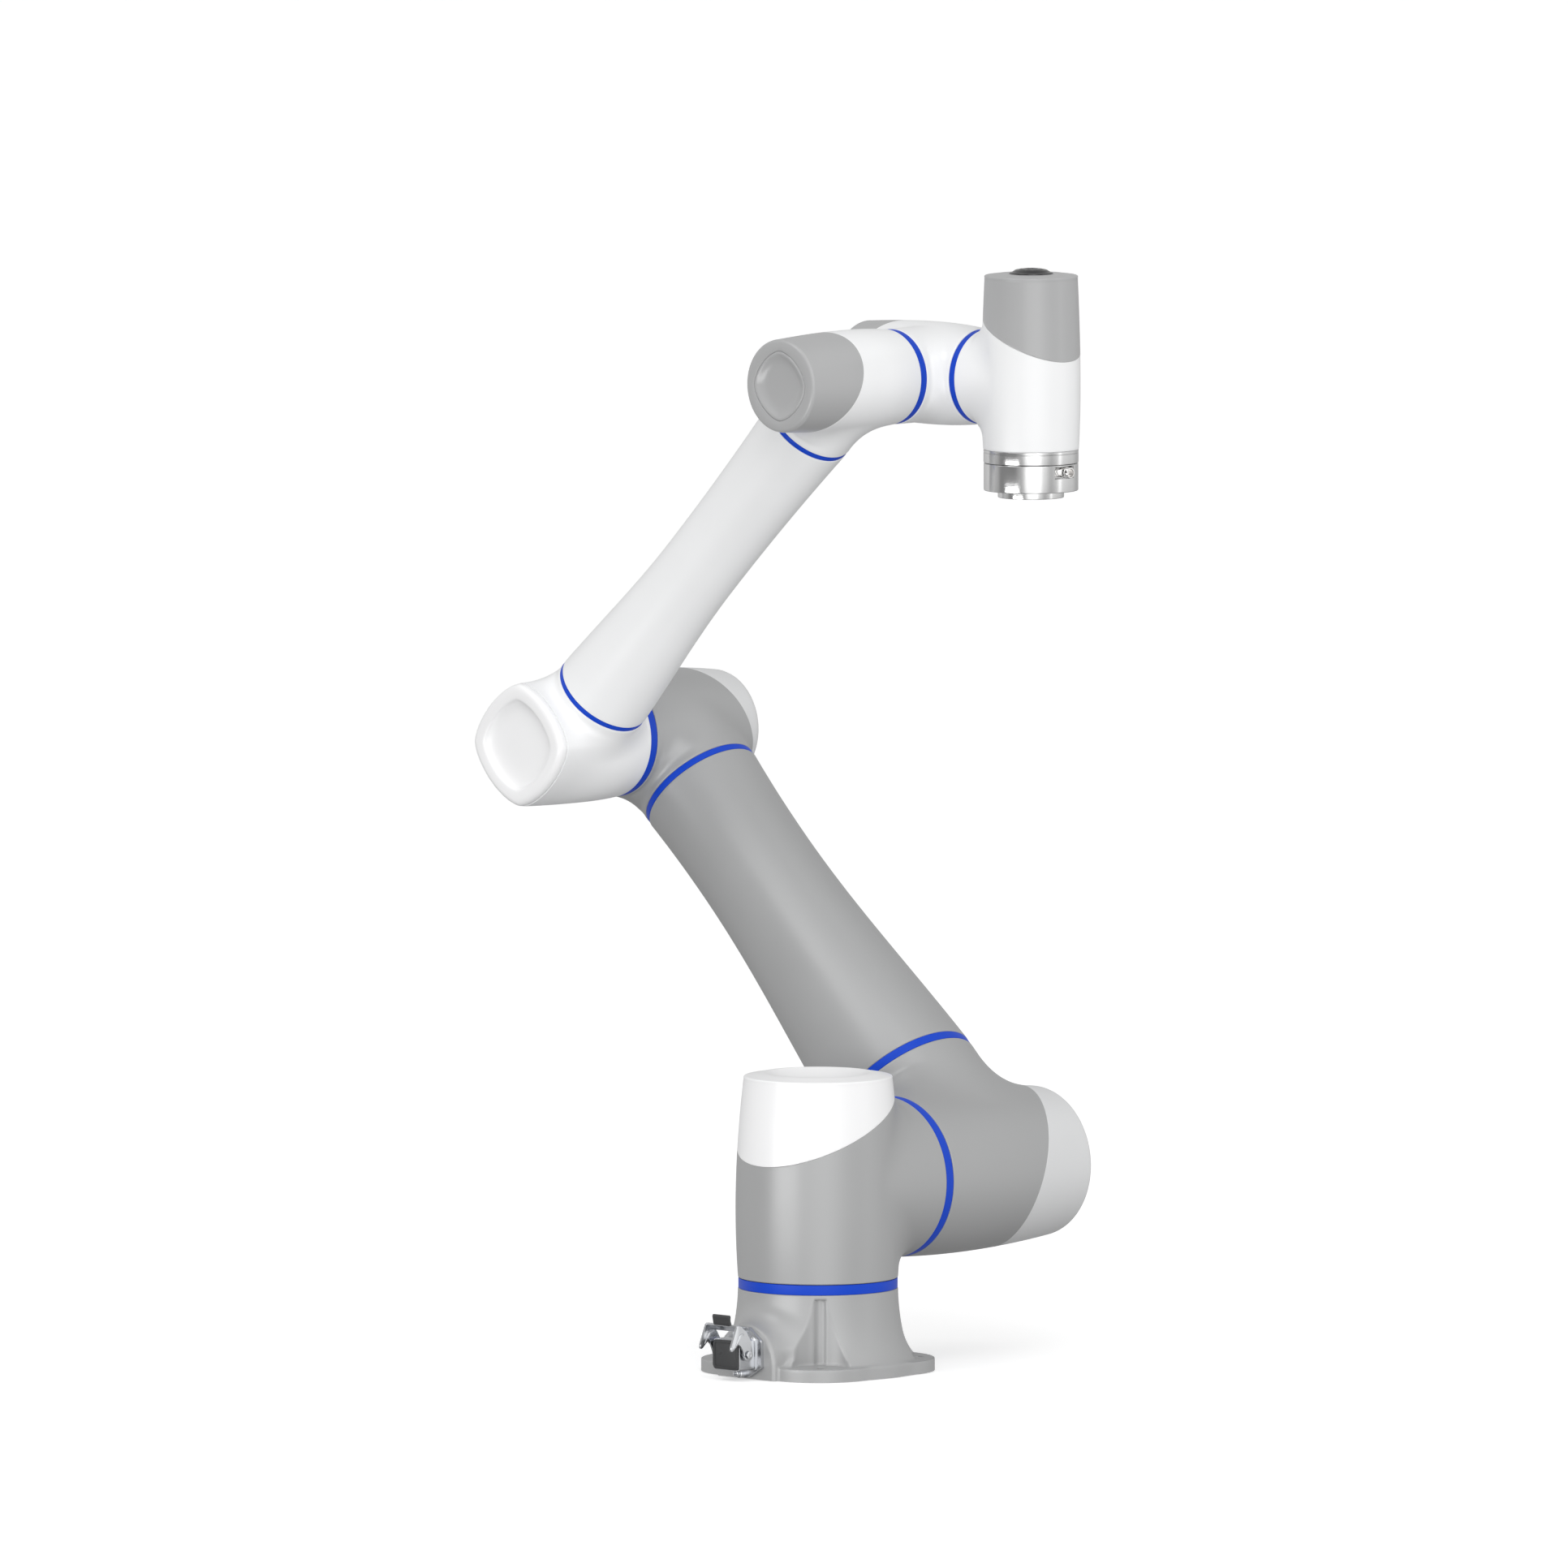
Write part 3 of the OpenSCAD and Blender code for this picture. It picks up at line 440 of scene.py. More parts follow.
def cut_with(bm, *cutters):
    """Takes the cutters away from a closed mesh."""
    objects = []
    for k, part in enumerate((bm, join(*cutters))):
        bmesh.ops.recalc_face_normals(part, faces=part.faces)
        mesh = bpy.data.meshes.new(f"cut_{k}")
        part.to_mesh(mesh)
        part.free()
        obj = bpy.data.objects.new(f"cut_{k}", mesh)
        bpy.context.collection.objects.link(obj)
        objects.append(obj)
    body, tool = objects
    modifier = body.modifiers.new("cut", "BOOLEAN")
    modifier.operation, modifier.solver, modifier.object = "DIFFERENCE", "EXACT", tool
    bpy.context.view_layer.update()
    result = bmesh.new()
    evaluated = body.evaluated_get(bpy.context.evaluated_depsgraph_get())
    result.from_mesh(evaluated.data)
    for obj in objects:
        mesh = obj.data
        bpy.data.objects.remove(obj)
        bpy.data.meshes.remove(mesh)
    return result


# ---------------------------------------------------------------- shapes from a field

def smoothstep(x):
    x = np.clip(x, 0, 1)
    return x * x * (3 - 2 * x)


def blend_min(a, b, k):
    """The lower of two fields, with a rounded inner corner of size k."""
    h = np.clip(0.5 + 0.5 * (b - a) / k, 0, 1)
    return b * (1 - h) + a * h - k * h * (1 - h)


def settle(field, points, step=0.05):
    """Moves points along the field's slope onto its zero surface."""
    slope = np.stack([(field(points + step * e) - field(points - step * e)) / (2 * step)
                      for e in np.eye(3)], axis=1)
    size = np.maximum((slope**2).sum(axis=1), 0.05)
    move = np.clip(field(points) / size, -2, 2)
    return points - slope * move[:, None]


def relax(points, quads, field, rounds=3):
    """Evens out the spacing of the points and puts them back on the surface."""
    for _ in range(rounds):
        centres = points[quads].mean(axis=1)
        total, hits = np.zeros_like(points), np.zeros(len(points))
        for corner in range(4):
            np.add.at(total, quads[:, corner], centres)
            np.add.at(hits, quads[:, corner], 1)
        moved = points.copy()
        inner = hits >= 4
        moved[inner] = 0.4 * points[inner] + 0.6 * total[inner] / hits[inner][:, None]
        points = settle(field, settle(field, moved))
    return points


def calm(points, quads, rounds):
    """Takes small ripples out of a surface without shrinking it."""
    for share in [0.5, -0.53] * rounds:
        centres = points[quads].mean(axis=1)
        total, hits = np.zeros_like(points), np.zeros(len(points))
        for corner in range(4):
            np.add.at(total, quads[:, corner], centres)
            np.add.at(hits, quads[:, corner], 1)
        inner = hits >= 4
        step = total[inner] / hits[inner][:, None] - points[inner]
        points[inner] += share * step
    return points


def surface(field, low, high, cell, rounds):
    """Mesh of the field's zero surface inside a box, in quads about one cell wide."""
    low, high = np.array(low, float), np.array(high, float)
    counts = np.ceil((high - low) / cell).astype(int) + 1
    axes = [low[i] + cell * np.arange(counts[i]) for i in range(3)]
    grid = np.stack(np.meshgrid(*axes, indexing="ij"), axis=-1)
    value = field(grid.reshape(-1, 3)).reshape(counts)
    inside = value < 0
    total = np.zeros(tuple(counts - 1) + (3,))
    hits = np.zeros(tuple(counts - 1))
    for axis in range(3):
        across = np.moveaxis(value, axis, 0)
        a, b = across[:-1], across[1:]
        crosses = (a < 0) != (b < 0)
        spot = np.moveaxis(grid, axis, 0)[:-1].copy()
        spot[..., axis] += cell * np.where(crosses, a / np.where(crosses, a - b, 1), 0)
        for u, v in ((0, 0), (0, 1), (1, 0), (1, 1)):
            part = (slice(None), slice(u, u + crosses.shape[1] - 1),
                    slice(v, v + crosses.shape[2] - 1))
            c = crosses[part]
            total += np.moveaxis(np.where(c[..., None], spot[part], 0), 0, axis)
            hits += np.moveaxis(c.astype(float), 0, axis)
    used = hits > 0
    index = -np.ones(used.shape, int)
    index[used] = np.arange(used.sum())
    points = total[used] / hits[used][:, None]
    quads = []
    for axis in range(3):
        first, ids = np.moveaxis(inside, axis, 0), np.moveaxis(index, axis, 0)
        i, j, k = np.nonzero((first[:-1] != first[1:])[:, 1:-1, 1:-1])
        quad = np.stack([ids[i, j, k], ids[i, j + 1, k], ids[i, j + 1, k + 1], ids[i, j, k + 1]],
                        axis=1)
        flip = first[i, j + 1, k + 1] ^ (axis == 1)
        quad[~flip] = quad[~flip][:, ::-1]
        quads.append(quad)
    quads = np.concatenate(quads)
    points = calm(relax(settle(field, points), quads, field), quads, rounds)
    mesh = bpy.data.meshes.new("surface")
    mesh.from_pydata(points.tolist(), [], quads.tolist())
    bm = bmesh.new()
    bm.from_mesh(mesh)
    bpy.data.meshes.remove(mesh)
    return bm


def trim(bm, at, normal, axis, edge, depth):
    """Cuts a skin along a plane and turns its rim in, round at first and then flat."""
    geometry = bm.verts[:] + bm.edges[:] + bm.faces[:]
    made = bmesh.ops.bisect_plane(bm, geom=geometry, dist=1e-4, plane_co=at, plane_no=normal,
                                  clear_outer=True)
    edges = [e for e in made["geom_cut"] if isinstance(e, bmesh.types.BMEdge)]
    rim = list({v for e in edges for v in e.verts})
    inwards = {}
    for v in rim:
        away = v.co - axis * v.co.dot(axis)
        away -= normal * away.dot(normal)
        inwards[v] = -away.normalized()
    source = {v: (v.co.copy(), inwards[v]) for v in rim}
    turns = np.linspace(0, math.pi / 2, 4)[1:]
    steps = [(edge * (1 - math.cos(a)), edge * math.sin(a)) for a in turns] + [(depth, edge)]
    rows = [{v: v for v in rim}]
    for inward, forward in steps:
        row = {v: bm.verts.new(co + way * inward + normal * forward)
               for v, (co, way) in source.items()}
        last = rows[-1]
        for e in edges:
            a, b = e.verts
            bm.faces.new((last[a], last[b], row[b], row[a]))
        rows.append(row)
    return bm


# ---------------------------------------------------------------- joint castings and their caps

SEAM_SLOPE = 0.48               # rise of a cap seam for each millimetre towards the neck
RIM_EDGE = 1.1                  # rounding where a casting meets a seal ring
SEAM_EDGE = 0.3                 # half width of the seam line between a casting and its cap
RIM_LIP = 9                     # how far a casting's rim turns in behind a seal ring
SEAM_LIP = 4                    # how far a rim turns in behind the seam
CALM_ROUNDS = 8                 # smoothing passes over a casting
SMALL_WALL = 4                  # wall of the wrist castings
CROWN_RISE = 1.6                # top of the third wrist's cap above its rim

# ring, belly and rim: radius of the barrel where it meets its ring, at its widest and at the cap.
# rim_h and seam: heights of the cap's end and of the seam on the barrel's axis.
# neck: radius of the neck. fillet: size of the hollow between the neck and the barrel.
SIZES = {
    "shoulder": dict(ring=76, belly=78.7, rim=70.4, rim_h=104.5, neck=77, seam=60, fillet=30),
    "upper_arm": dict(ring=77, belly=79, rim=71.5, rim_h=107, neck=74.8, seam=60, fillet=58),
    "elbow": dict(ring=58.5, belly=61.4, rim=54, rim_h=80, neck=60, seam=46, fillet=40),
    "forearm": dict(ring=58.5, belly=60.5, rim=59, rim_h=69.5, neck=47.5, seam=60, fillet=34),
    "wrist_1": dict(ring=45.5, belly=48, rim=44, rim_h=90, neck=43.8, seam=42, fillet=34),
    "wrist_2": dict(ring=45.5, belly=49.3, rim=45, rim_h=90.4, neck=45.5, seam=42, fillet=18),
    "wrist_3": dict(ring=45.5, belly=46.7, rim=44.2, rim_h=100, neck=45.5, seam=42, fillet=26),
}


def diamond(angle, power):
    """Radius factor of a rounded diamond whose corners lie between the X and Y axes."""
    a = angle - math.pi / 4
    return (np.abs(np.cos(a))**power + np.abs(np.sin(a))**power)**(-1 / power)


def forearm_shape(angle, radius, height):
    """The forearm's elbow end turns from round at the seal ring to a diamond at its cover."""
    share = smoothstep((height + 34) / 70)
    return 1 + share * (diamond(angle, 1.52) - 1)


def barrel_side(size, tail, steps=90):
    """Swelling side of a barrel, from its ring to its rim."""
    return curve((size["ring"], -tail), (size["belly"] + 1, -0.4 * tail),
                 (size["belly"] + 1, 0.25 * size["rim_h"]), (size["rim"], size["rim_h"]), steps)


def casting_field(size, tail, reach, slope, shape):
    """Field of a barrel along Z with a neck along +Y, and a hollow blend between them."""
    side = np.array(barrel_side(size, tail))
    narrow = size["neck"]

    def field(p):
        x, y, z = p.T
        flat = np.hypot(x, y)
        across = np.hypot(x, z)
        wanted = np.interp(z, side[:, 1], side[:, 0])
        if shape:
            wanted = wanted * shape(np.arctan2(y, x), flat, z)
        barrel = flat - wanted
        neck = np.maximum(across - narrow, -y)
        facing = x * x / np.maximum(flat * across, 1e-6)
        neck_z = np.sqrt(np.maximum(narrow**2 - x * x, 1))
        barrel_y = np.sqrt(np.maximum(size["belly"]**2 - x * x, 1))
        above = size["seam"] + slope * barrel_y - neck_z
        below = tail - neck_z
        beside = reach - barrel_y
        room = below + (above - below) * smoothstep(0.5 + 0.5 * z / neck_z)
        room = blend_min(blend_min(1.25 * room, 1.8 * beside, 8), size["fillet"] + 0 * x, 8)
        fade = smoothstep((reach - y) / (0.2 * reach)) * smoothstep((z + tail) / 8)
        k = np.maximum(room, 0) * (1 - facing)**0.8 * fade + 0.02
        return blend_min(barrel, neck, k)
    return field


def add_casting(name, cell, slope=SEAM_SLOPE, shape=None):
    size, place = SIZES[name], PLACES[name]
    low, high = span(f"{name}_housing", place)
    tail, reach = -low[2], high[1]
    field = casting_field(size, tail, reach, slope, shape)
    wide = size["belly"] + 4
    top = min(size["seam"] + slope * wide + 6, size["rim_h"] + 2)
    bm = surface(field, (-wide, -wide, -tail - 2 * cell), (wide, reach + 2 * cell, top), cell,
                 CALM_ROUNDS)
    trim(bm, Vector((0, 0, RIM_EDGE - tail)), -Z, Z, RIM_EDGE, RIM_LIP)
    trim(bm, Vector((0, reach - RIM_EDGE, 0)), Y, Y, RIM_EDGE, RIM_LIP)
    up = Vector((0, -slope, 1)).normalized()
    trim(bm, Vector((0, 0, size["seam"] - SEAM_EDGE - 0.1)), up, Z, SEAM_EDGE, SEAM_LIP)
    return add_piece(f"{name}_casting", bm, place, f"{name}_housing")


def add_cap(name, end, slope=SEAM_SLOPE, shape=None):
    """Cap over the seam: the barrel's own side, then the profile of its end."""
    size, place = SIZES[name], PLACES[name]
    tail = -span(f"{name}_housing", place)[0][2]
    lowest = size["seam"] - slope * 1.1 * size["belly"] - 6
    side = [p for p in barrel_side(size, tail) if lowest < p[1] < end[0][1] - 0.3]
    bm = lathe(side + end, 192, shape)
    down = Vector((0, slope, -1)).normalized()
    trim(bm, Vector((0, 0, size["seam"] + SEAM_EDGE + 0.1)), down, Z, SEAM_EDGE, SEAM_LIP)
    return add_piece(f"{name}_cover", bm, place, f"{name}_cap")


def rim_round(size, edge):
    """Rounded rim at the top of a cap's side."""
    return arc((size["rim"] + 0.4 - edge, size["rim_h"] - edge), edge, 6, 76, 8)


def dished_end(size, edge):
    """Cap end with a low dome, a soft dish and a flat disc let into the middle."""
    r, top = size["rim"], size["rim_h"]
    crown, well = top + 0.043 * r, top - 0.07 * r
    rim = rim_round(size, edge)
    dome = curve(rim[-1], (0.88 * r, top + 0.7), (0.78 * r, crown), (0.71 * r, crown), 10)
    dish = curve((0.695 * r, crown - 0.15), (0.66 * r, crown - 1), (0.42 * r, well + 0.2),
                 (0.28 * r, well), 18)
    disc = [(0.272 * r, well - 0.3), (0.264 * r, well - 0.7), (0.256 * r, well - 0.3),
            (0.25 * r, well), (0.1 * r, well + 0.15), (0, well + 0.15)]
    return rim + dome[1:] + dish + disc


def squarish(size):
    """Radius factor of a wrist cap's end: round at the rim, a soft diamond round the dish."""
    r = size["rim"]

    def shape(angle, radius, height):
        share = smoothstep((0.93 * r - radius) / (0.2 * r)) if height > size["rim_h"] - 12 else 0
        return 1 + share * (diamond(angle, 1.6) - 1)
    return shape


def grooved_end(size, edge=4.0):
    """Cap end of the first two wrists: a fine groove round a shallow smooth dish."""
    r, top = size["rim"], size["rim_h"]
    rim = rim_round(size, edge)
    shelf = top + 0.35
    groove = [(0.79 * r, shelf), (0.765 * r, shelf - 0.35), (0.755 * r, shelf - 1.1),
              (0.745 * r, shelf - 0.35), (0.72 * r, shelf)]
    dish = curve((0.71 * r, shelf), (0.66 * r, shelf - 0.2), (0.6 * r, shelf - 3.4),
                 (0.42 * r, shelf - 3.8), 14)
    flat = [(0.2 * r, shelf - 4), (0, shelf - 4)]
    return rim + [(0.86 * r, shelf - 0.05)] + groove + dish + flat


def collar_end(size, collar_r, edge=1.6):
    """Low domed end that runs down under the black collar."""
    r, top = size["rim"], size["rim_h"]
    rim = rim_round(size, edge)
    crown = top + CROWN_RISE
    dome = curve(rim[-1], (0.86 * r, top + 0.5), (0.74 * r, crown), (0.62 * r, crown), 10)
    seat = collar_r + 0.3
    return rim + dome[1:] + [(seat + 0.5, crown - 0.1), (seat, crown - 0.6), (seat, crown - 4)]


def cover_end(size):
    """Broad soft rim and a shallow dish, drawn as a circle; the forearm's shape makes it square."""
    r, top = size["rim"], size["rim_h"]
    rim = ([(r - 0.7, top - 8.9), (r - 0.7, top - 8.3), (r - 0.1, top - 7.9)]
           + curve((r, top - 7.5), (r, top - 2), (0.955 * r, top), (0.87 * r, top), 18))
    lip = curve((0.87 * r, top), (0.78 * r, top), (0.742 * r, top - 0.1), (0.735 * r, top - 1.4), 8)
    dish = curve((0.73 * r, top - 2.4), (0.7 * r, top - 7.4), (0.6 * r, top - 7.6),
                 (0, top - 6.4), 16)
    return rim + lip[1:] + dish


add_casting("shoulder", 2.6)
add_cap("shoulder", dished_end(SIZES["shoulder"], 1.6))
add_casting("upper_arm", 2.6)
add_cap("upper_arm", dished_end(SIZES["upper_arm"], 5))
add_casting("elbow", 2.2)
add_cap("elbow", dished_end(SIZES["elbow"], 6))
add_casting("forearm", 2.2, 0.0, forearm_shape)
add_cap("forearm", cover_end(SIZES["forearm"]), 0.0, forearm_shape)
for wrist in ("wrist_1", "wrist_2"):
    add_casting(wrist, 1.8)
    add_cap(wrist, grooved_end(SIZES[wrist]), shape=squarish(SIZES[wrist]))
add_casting("wrist_3", 1.8)


# ---------------------------------------------------------------- seal rings and link tubes

def add_ring(node, place, radius):
    """Blue ring set a little below the surfaces beside it."""
    low, high = span(node, place)
    bm = lathe(ring_outline(radius - 0.35, 0.8 * radius, low[2] + 0.1, high[2] - 0.1, 0.5), 192)
    add_piece(node.replace("ring", "band"), bm, place, node)


def about(place, direction):
    """A place with the same origin whose Z runs along a direction."""
    other = Y if abs(direction.normalized().dot(Y)) < 0.9 else X
    side = other - direction * other.dot(direction) / direction.length_squared
    return turned(place.translation, side, direction)


# A joint's ring is as wide as the barrel on it, and a link's ring as wide as the neck beside it
for node, name, direction, casting, width in (
        ("base_seal_ring", "shoulder", Z, "shoulder", "ring"),
        ("shoulder_seal_ring", "upper_arm", Y, "upper_arm", "ring"),
        ("elbow_seal_ring", "elbow", Y, "elbow", "ring"),
        ("wrist_1_seal_ring", "wrist_1", Y, "wrist_1", "ring"),
        ("wrist_2_seal_ring", "wrist_2", X, "wrist_2", "ring"),
        ("upper_arm_lower_ring", "upper_tube", upper_arm_way, "upper_arm", "neck"),
        ("upper_arm_upper_ring", "upper_tube", upper_arm_way, "elbow", "neck"),
        ("forearm_lower_ring", "fore_tube", forearm_way, "forearm", "neck"),
        ("forearm_upper_ring", "fore_tube", forearm_way, "wrist_1", "neck")):
    add_ring(node, about(PLACES[name], direction), SIZES[casting][width])


def add_tube(node, place, low_r, waist_at, waist_r, top_r):
    """Waisted link tube with rounded ends that close on its rings."""
    low, high = span(node, place)
    low, high = low[2], high[2]
    down = curve((low_r, low + RIM_EDGE),
                 (0.6 * low_r + 0.4 * waist_r, 0.61 * low + 0.39 * waist_at),
                 (waist_r, 0.35 * low + 0.65 * waist_at), (waist_r, waist_at), 60)
    up = curve((waist_r, waist_at), (waist_r, 0.58 * waist_at + 0.42 * high),
               (0.5 * top_r + 0.5 * waist_r, 0.26 * waist_at + 0.74 * high),
               (top_r, high - RIM_EDGE), 40)
    foot = [(low_r - 14, low)] + arc((low_r - RIM_EDGE, low + RIM_EDGE), RIM_EDGE, -90, -6, 5)
    head = arc((top_r - RIM_EDGE, high - RIM_EDGE), RIM_EDGE, 6, 90, 5) + [(top_r - 14, high)]
    inside = [(waist_r - 5, high - 12), (waist_r - 5, low + 12), (low_r - 14, low)]
    bm = lathe(foot + down + up[1:] + head + inside, 192)
    add_piece(node.replace("_tube", "_link"), bm, place, node)


add_tube("upper_arm_tube", PLACES["upper_tube"], low_r=74.6, waist_at=388, waist_r=57.1, top_r=60)
add_tube("forearm_tube", PLACES["fore_tube"], low_r=47.3, waist_at=252, waist_r=38.2, top_r=43.8)


# ---------------------------------------------------------------- guide button on the third wrist

COLLAR_R = 20.8
BUTTON_R = 12.0
crown = SIZES["wrist_3"]["rim_h"] + CROWN_RISE

add_cap("wrist_3", collar_end(SIZES["wrist_3"], COLLAR_R))

collar = ([(BUTTON_R + 0.4, crown - 9), (COLLAR_R, crown - 4), (COLLAR_R, crown - 0.4)]
          + arc((COLLAR_R - 0.9, crown + 0.2), 0.9, 0, 60, 5)
          + curve((COLLAR_R - 1.4, crown + 1.1), (COLLAR_R - 3.4, crown + 1.7),
                  (BUTTON_R + 3.6, crown + 3.6), (BUTTON_R + 2.2, crown + 3.8), 8)
          + arc((BUTTON_R + 1.1, crown + 3.1), 0.7, 80, 180, 5)
          + [(BUTTON_R + 0.4, crown - 9)])
add_piece("button_collar", lathe(collar, 128), PLACES["wrist_3"], "button_bezel")

button_low, button_high = span("guide_button", PLACES["wrist_3"])
button_top = button_high[2]
button = ([(0, button_low[2]), (BUTTON_R - 1, button_low[2]), (BUTTON_R, button_low[2] + 1)]
          + arc((BUTTON_R - 1.2, button_top - 1.4), 1.2, 0, 80, 6)
          + [(6.6, button_top), (6.2, button_top - 0.15), (5.8, button_top - 0.7),
             (5.2, button_top - 0.8)]
          + curve((5.0, button_top - 0.8), (3.5, button_top - 0.8), (2, button_top - 0.5),
                  (0, button_top - 0.45), 6))
add_piece("button_top", lathe(button, 96), PLACES["wrist_3"], "guide_button")


# ---------------------------------------------------------------- turned metal tool end

def box_cutter(low, high):
    (x0, y0, z0), (x1, y1, z1) = low, high
    return prism([(x0, y0), (x1, y0), (x1, y1), (x0, y1)], z0, z1, 0.3)


def rod(at, radius, low, high, sections=48):
    """Plain cylinder along Z for cutting holes."""
    points = [(at[0] + radius * math.cos(TURN * i / sections),
               at[1] + radius * math.sin(TURN * i / sections)) for i in range(sections)]
    return prism(points, low, high, 0.02)


tool_place = PLACES["wrist_3"]
end_low, end_high = span("wrist_3_end_ring", tool_place)
ring_r = end_high[0]
end_bore = SIZES["wrist_3"]["ring"] - SMALL_WALL
end_ring = ([(end_bore, end_low[2])] + arc((ring_r - 0.9, end_low[2] + 0.9), 0.9, -90, 0)
            + [(ring_r, end_high[2] - 3.2), (ring_r - 0.5, end_high[2] - 2.9),
               (ring_r - 0.5, end_high[2] - 2.5), (ring_r, end_high[2] - 2.2)]
            + arc((ring_r - 0.6, end_high[2] - 0.6), 0.6, 0, 90)
            + [(end_bore, end_high[2]), (end_bore, end_low[2])])
add_piece("wrist_3_end_band", lathe(end_ring, 192), tool_place, "wrist_3_end_ring")

TOOL_PCD = MOUNTS["tool_bolts"]["pcd_mm"]
SCREW_R = MOUNTS["tool_bolts"]["hole_r_mm"]
DOWEL_R = MOUNTS["tool_dowel"]["r_mm"]
PILOT_R = MOUNTS["tool_pilot"]["r_mm"]
BOSS_R = 31.5
flange_low, flange_high = span("tool_flange", tool_place)
foot_z, top_z = flange_low[2], flange_high[2]
body_r = flange_high[0]
shoulder_z = foot_z + 6.8
flange = ([(7, foot_z + 6.2), (PILOT_R, foot_z + 6.2), (PILOT_R, foot_z + 0.5),
           (PILOT_R + 0.5, foot_z)]
          + arc((BOSS_R - 0.7, foot_z + 0.7), 0.7, -90, 0) + [(BOSS_R, shoulder_z)]
          + arc((body_r - 0.9, shoulder_z + 0.9), 0.9, -90, 0)
          + arc((body_r - 0.9, top_z - 0.9), 0.9, 0, 90)
          + [(7, top_z), (7, foot_z + 6.2)])
socket_low, socket_high = span("tool_socket", tool_place)
socket_z = (socket_low[2] + socket_high[2]) / 2
recess_x = min(abs(socket_low[1]), abs(socket_high[1]))
holes = [rod((TOOL_PCD / 2 * math.cos(a), TOOL_PCD / 2 * math.sin(a)), SCREW_R, foot_z - 1,
             foot_z + 12) for a in (TURN * (k + 0.5) / 4 for k in range(4))]
holes.append(rod((0, -TOOL_PCD / 2), DOWEL_R, foot_z - 1, foot_z + 6.2))
recess = box_cutter((-13, -body_r - 5, socket_z - 6), (13, -recess_x, socket_z + 6))
add_piece("tool_flange_turned", cut_with(lathe(flange, 192), recess, *holes), tool_place,
          "tool_flange", sharp=25)

hexagon = [(5.6 * math.cos(TURN * k / 6), 5.6 * math.sin(TURN * k / 6)) for k in range(6)]
nut = prism(rounded(hexagon, 0.5, 3), 0, 3, 0.4)
thread = []
for k in range(5):
    thread += [(4.5, 3.2 + 0.9 * k), (4.1, 3.6 + 0.9 * k)]
barrel = ([(3.7, 2)] + [(4.5, 3)] + thread + [(4.5, 8)] + [(4.8, 8)]
          + arc((4.7, 8.5), 0.5, -90, 0) + [(5.2, 11.4), (4.9, 11.7), (4.9, 12.1), (5.2, 12.4)]
          + arc((4.7, 15.5), 0.5, 0, 90) + [(3.7, 16), (3.7, 2)])
core = [(0, 9.5), (3.65, 9.5), (3.65, 2.5), (0, 2.5)]
socket_place = turned(tool_place @ Vector((0, -recess_x, socket_z)), Z, X)
add_piece("tool_socket_turned", join(nut, lathe(barrel, 64), lathe(core, 48)), socket_place,
          "tool_socket", sharp=30)


# ---------------------------------------------------------------- base casting

BOLT_PCD = MOUNTS["base_bolts"]["pcd_mm"]
BOLT_R = MOUNTS["base_bolts"]["hole_r_mm"]
base_top = span("base_casting", PLACES["base"])[1][2]
PAD_Y = 100.0                   # face of the socket's pad, from the axis of joint 1
PAD_HALF = 38.0
FLANGE_T = 12.0
FLANGE_HALF = 95.0
FLANGE_CORNER = 56.5
POCKET_R = 32.0
POCKET_AT = 107.5
POCKET_TOP = 72.0
GROOVE_R = 6.5
GROOVE_AT = 79.0
GROOVE_TOP = 75.0
skirt_side = np.array([(98.5, 0), (98.5, FLANGE_T - 1)]
                      + curve((98.5, FLANGE_T - 1), (86, 22), (78, 42), (76, base_top), 40)
                      + [(76, base_top + 20)])


def rounded_square(x, y, half, radius):
    """Field of an upright square column with rounded corners."""
    d = np.abs(np.stack([x, y], axis=1)) - half + radius
    outside = np.sqrt((np.maximum(d, 0)**2).sum(axis=1))
    return outside + np.minimum(d.max(axis=1), 0) - radius


def post(x, y, z, at, radius, low, high):
    """Field of an upright post with a flat top and a flat foot."""
    sides = np.hypot(x - at[0], y - at[1]) - radius
    return np.maximum(np.maximum(sides, z - high), low - z)


def base_field(p):
    x, y, z = p.T
    r = np.hypot(x, y)
    flange = -blend_min(-rounded_square(x, y, FLANGE_HALF, FLANGE_CORNER), FLANGE_T - z, 1.4)
    body = (r - np.interp(z, skirt_side[:, 1], skirt_side[:, 0])) * 0.9
    above = np.where(z > 13, np.hypot(x, z - 13), np.abs(x)) - PAD_HALF
    pad = -blend_min(-above, y + PAD_Y, 4)
    pad = np.maximum(pad, -y - PAD_Y)
    pad = np.maximum(pad, y + 30)
    field = blend_min(body, pad, 22 * smoothstep((z - FLANGE_T) / 20) + 1.5)
    for k in range(4):
        a = TURN * (k + 0.5) / 4
        way = np.array((math.cos(a), math.sin(a)))
        pocket = post(x, y, z, POCKET_AT * way, POCKET_R, FLANGE_T - 0.4, POCKET_TOP)
        groove = post(x, y, z, GROOVE_AT * way, GROOVE_R, FLANGE_T - 0.4, GROOVE_TOP)
        field = -blend_min(-field, blend_min(pocket, groove, 1.2), 0.9)
    field = blend_min(field, flange, 2.5)
    for k in range(4):
        a = TURN * (k + 0.5) / 4
        hole = np.hypot(x - BOLT_PCD / 2 * math.cos(a), y - BOLT_PCD / 2 * math.sin(a)) - BOLT_R
        field = -blend_min(-field, hole, 0.8)
    return field


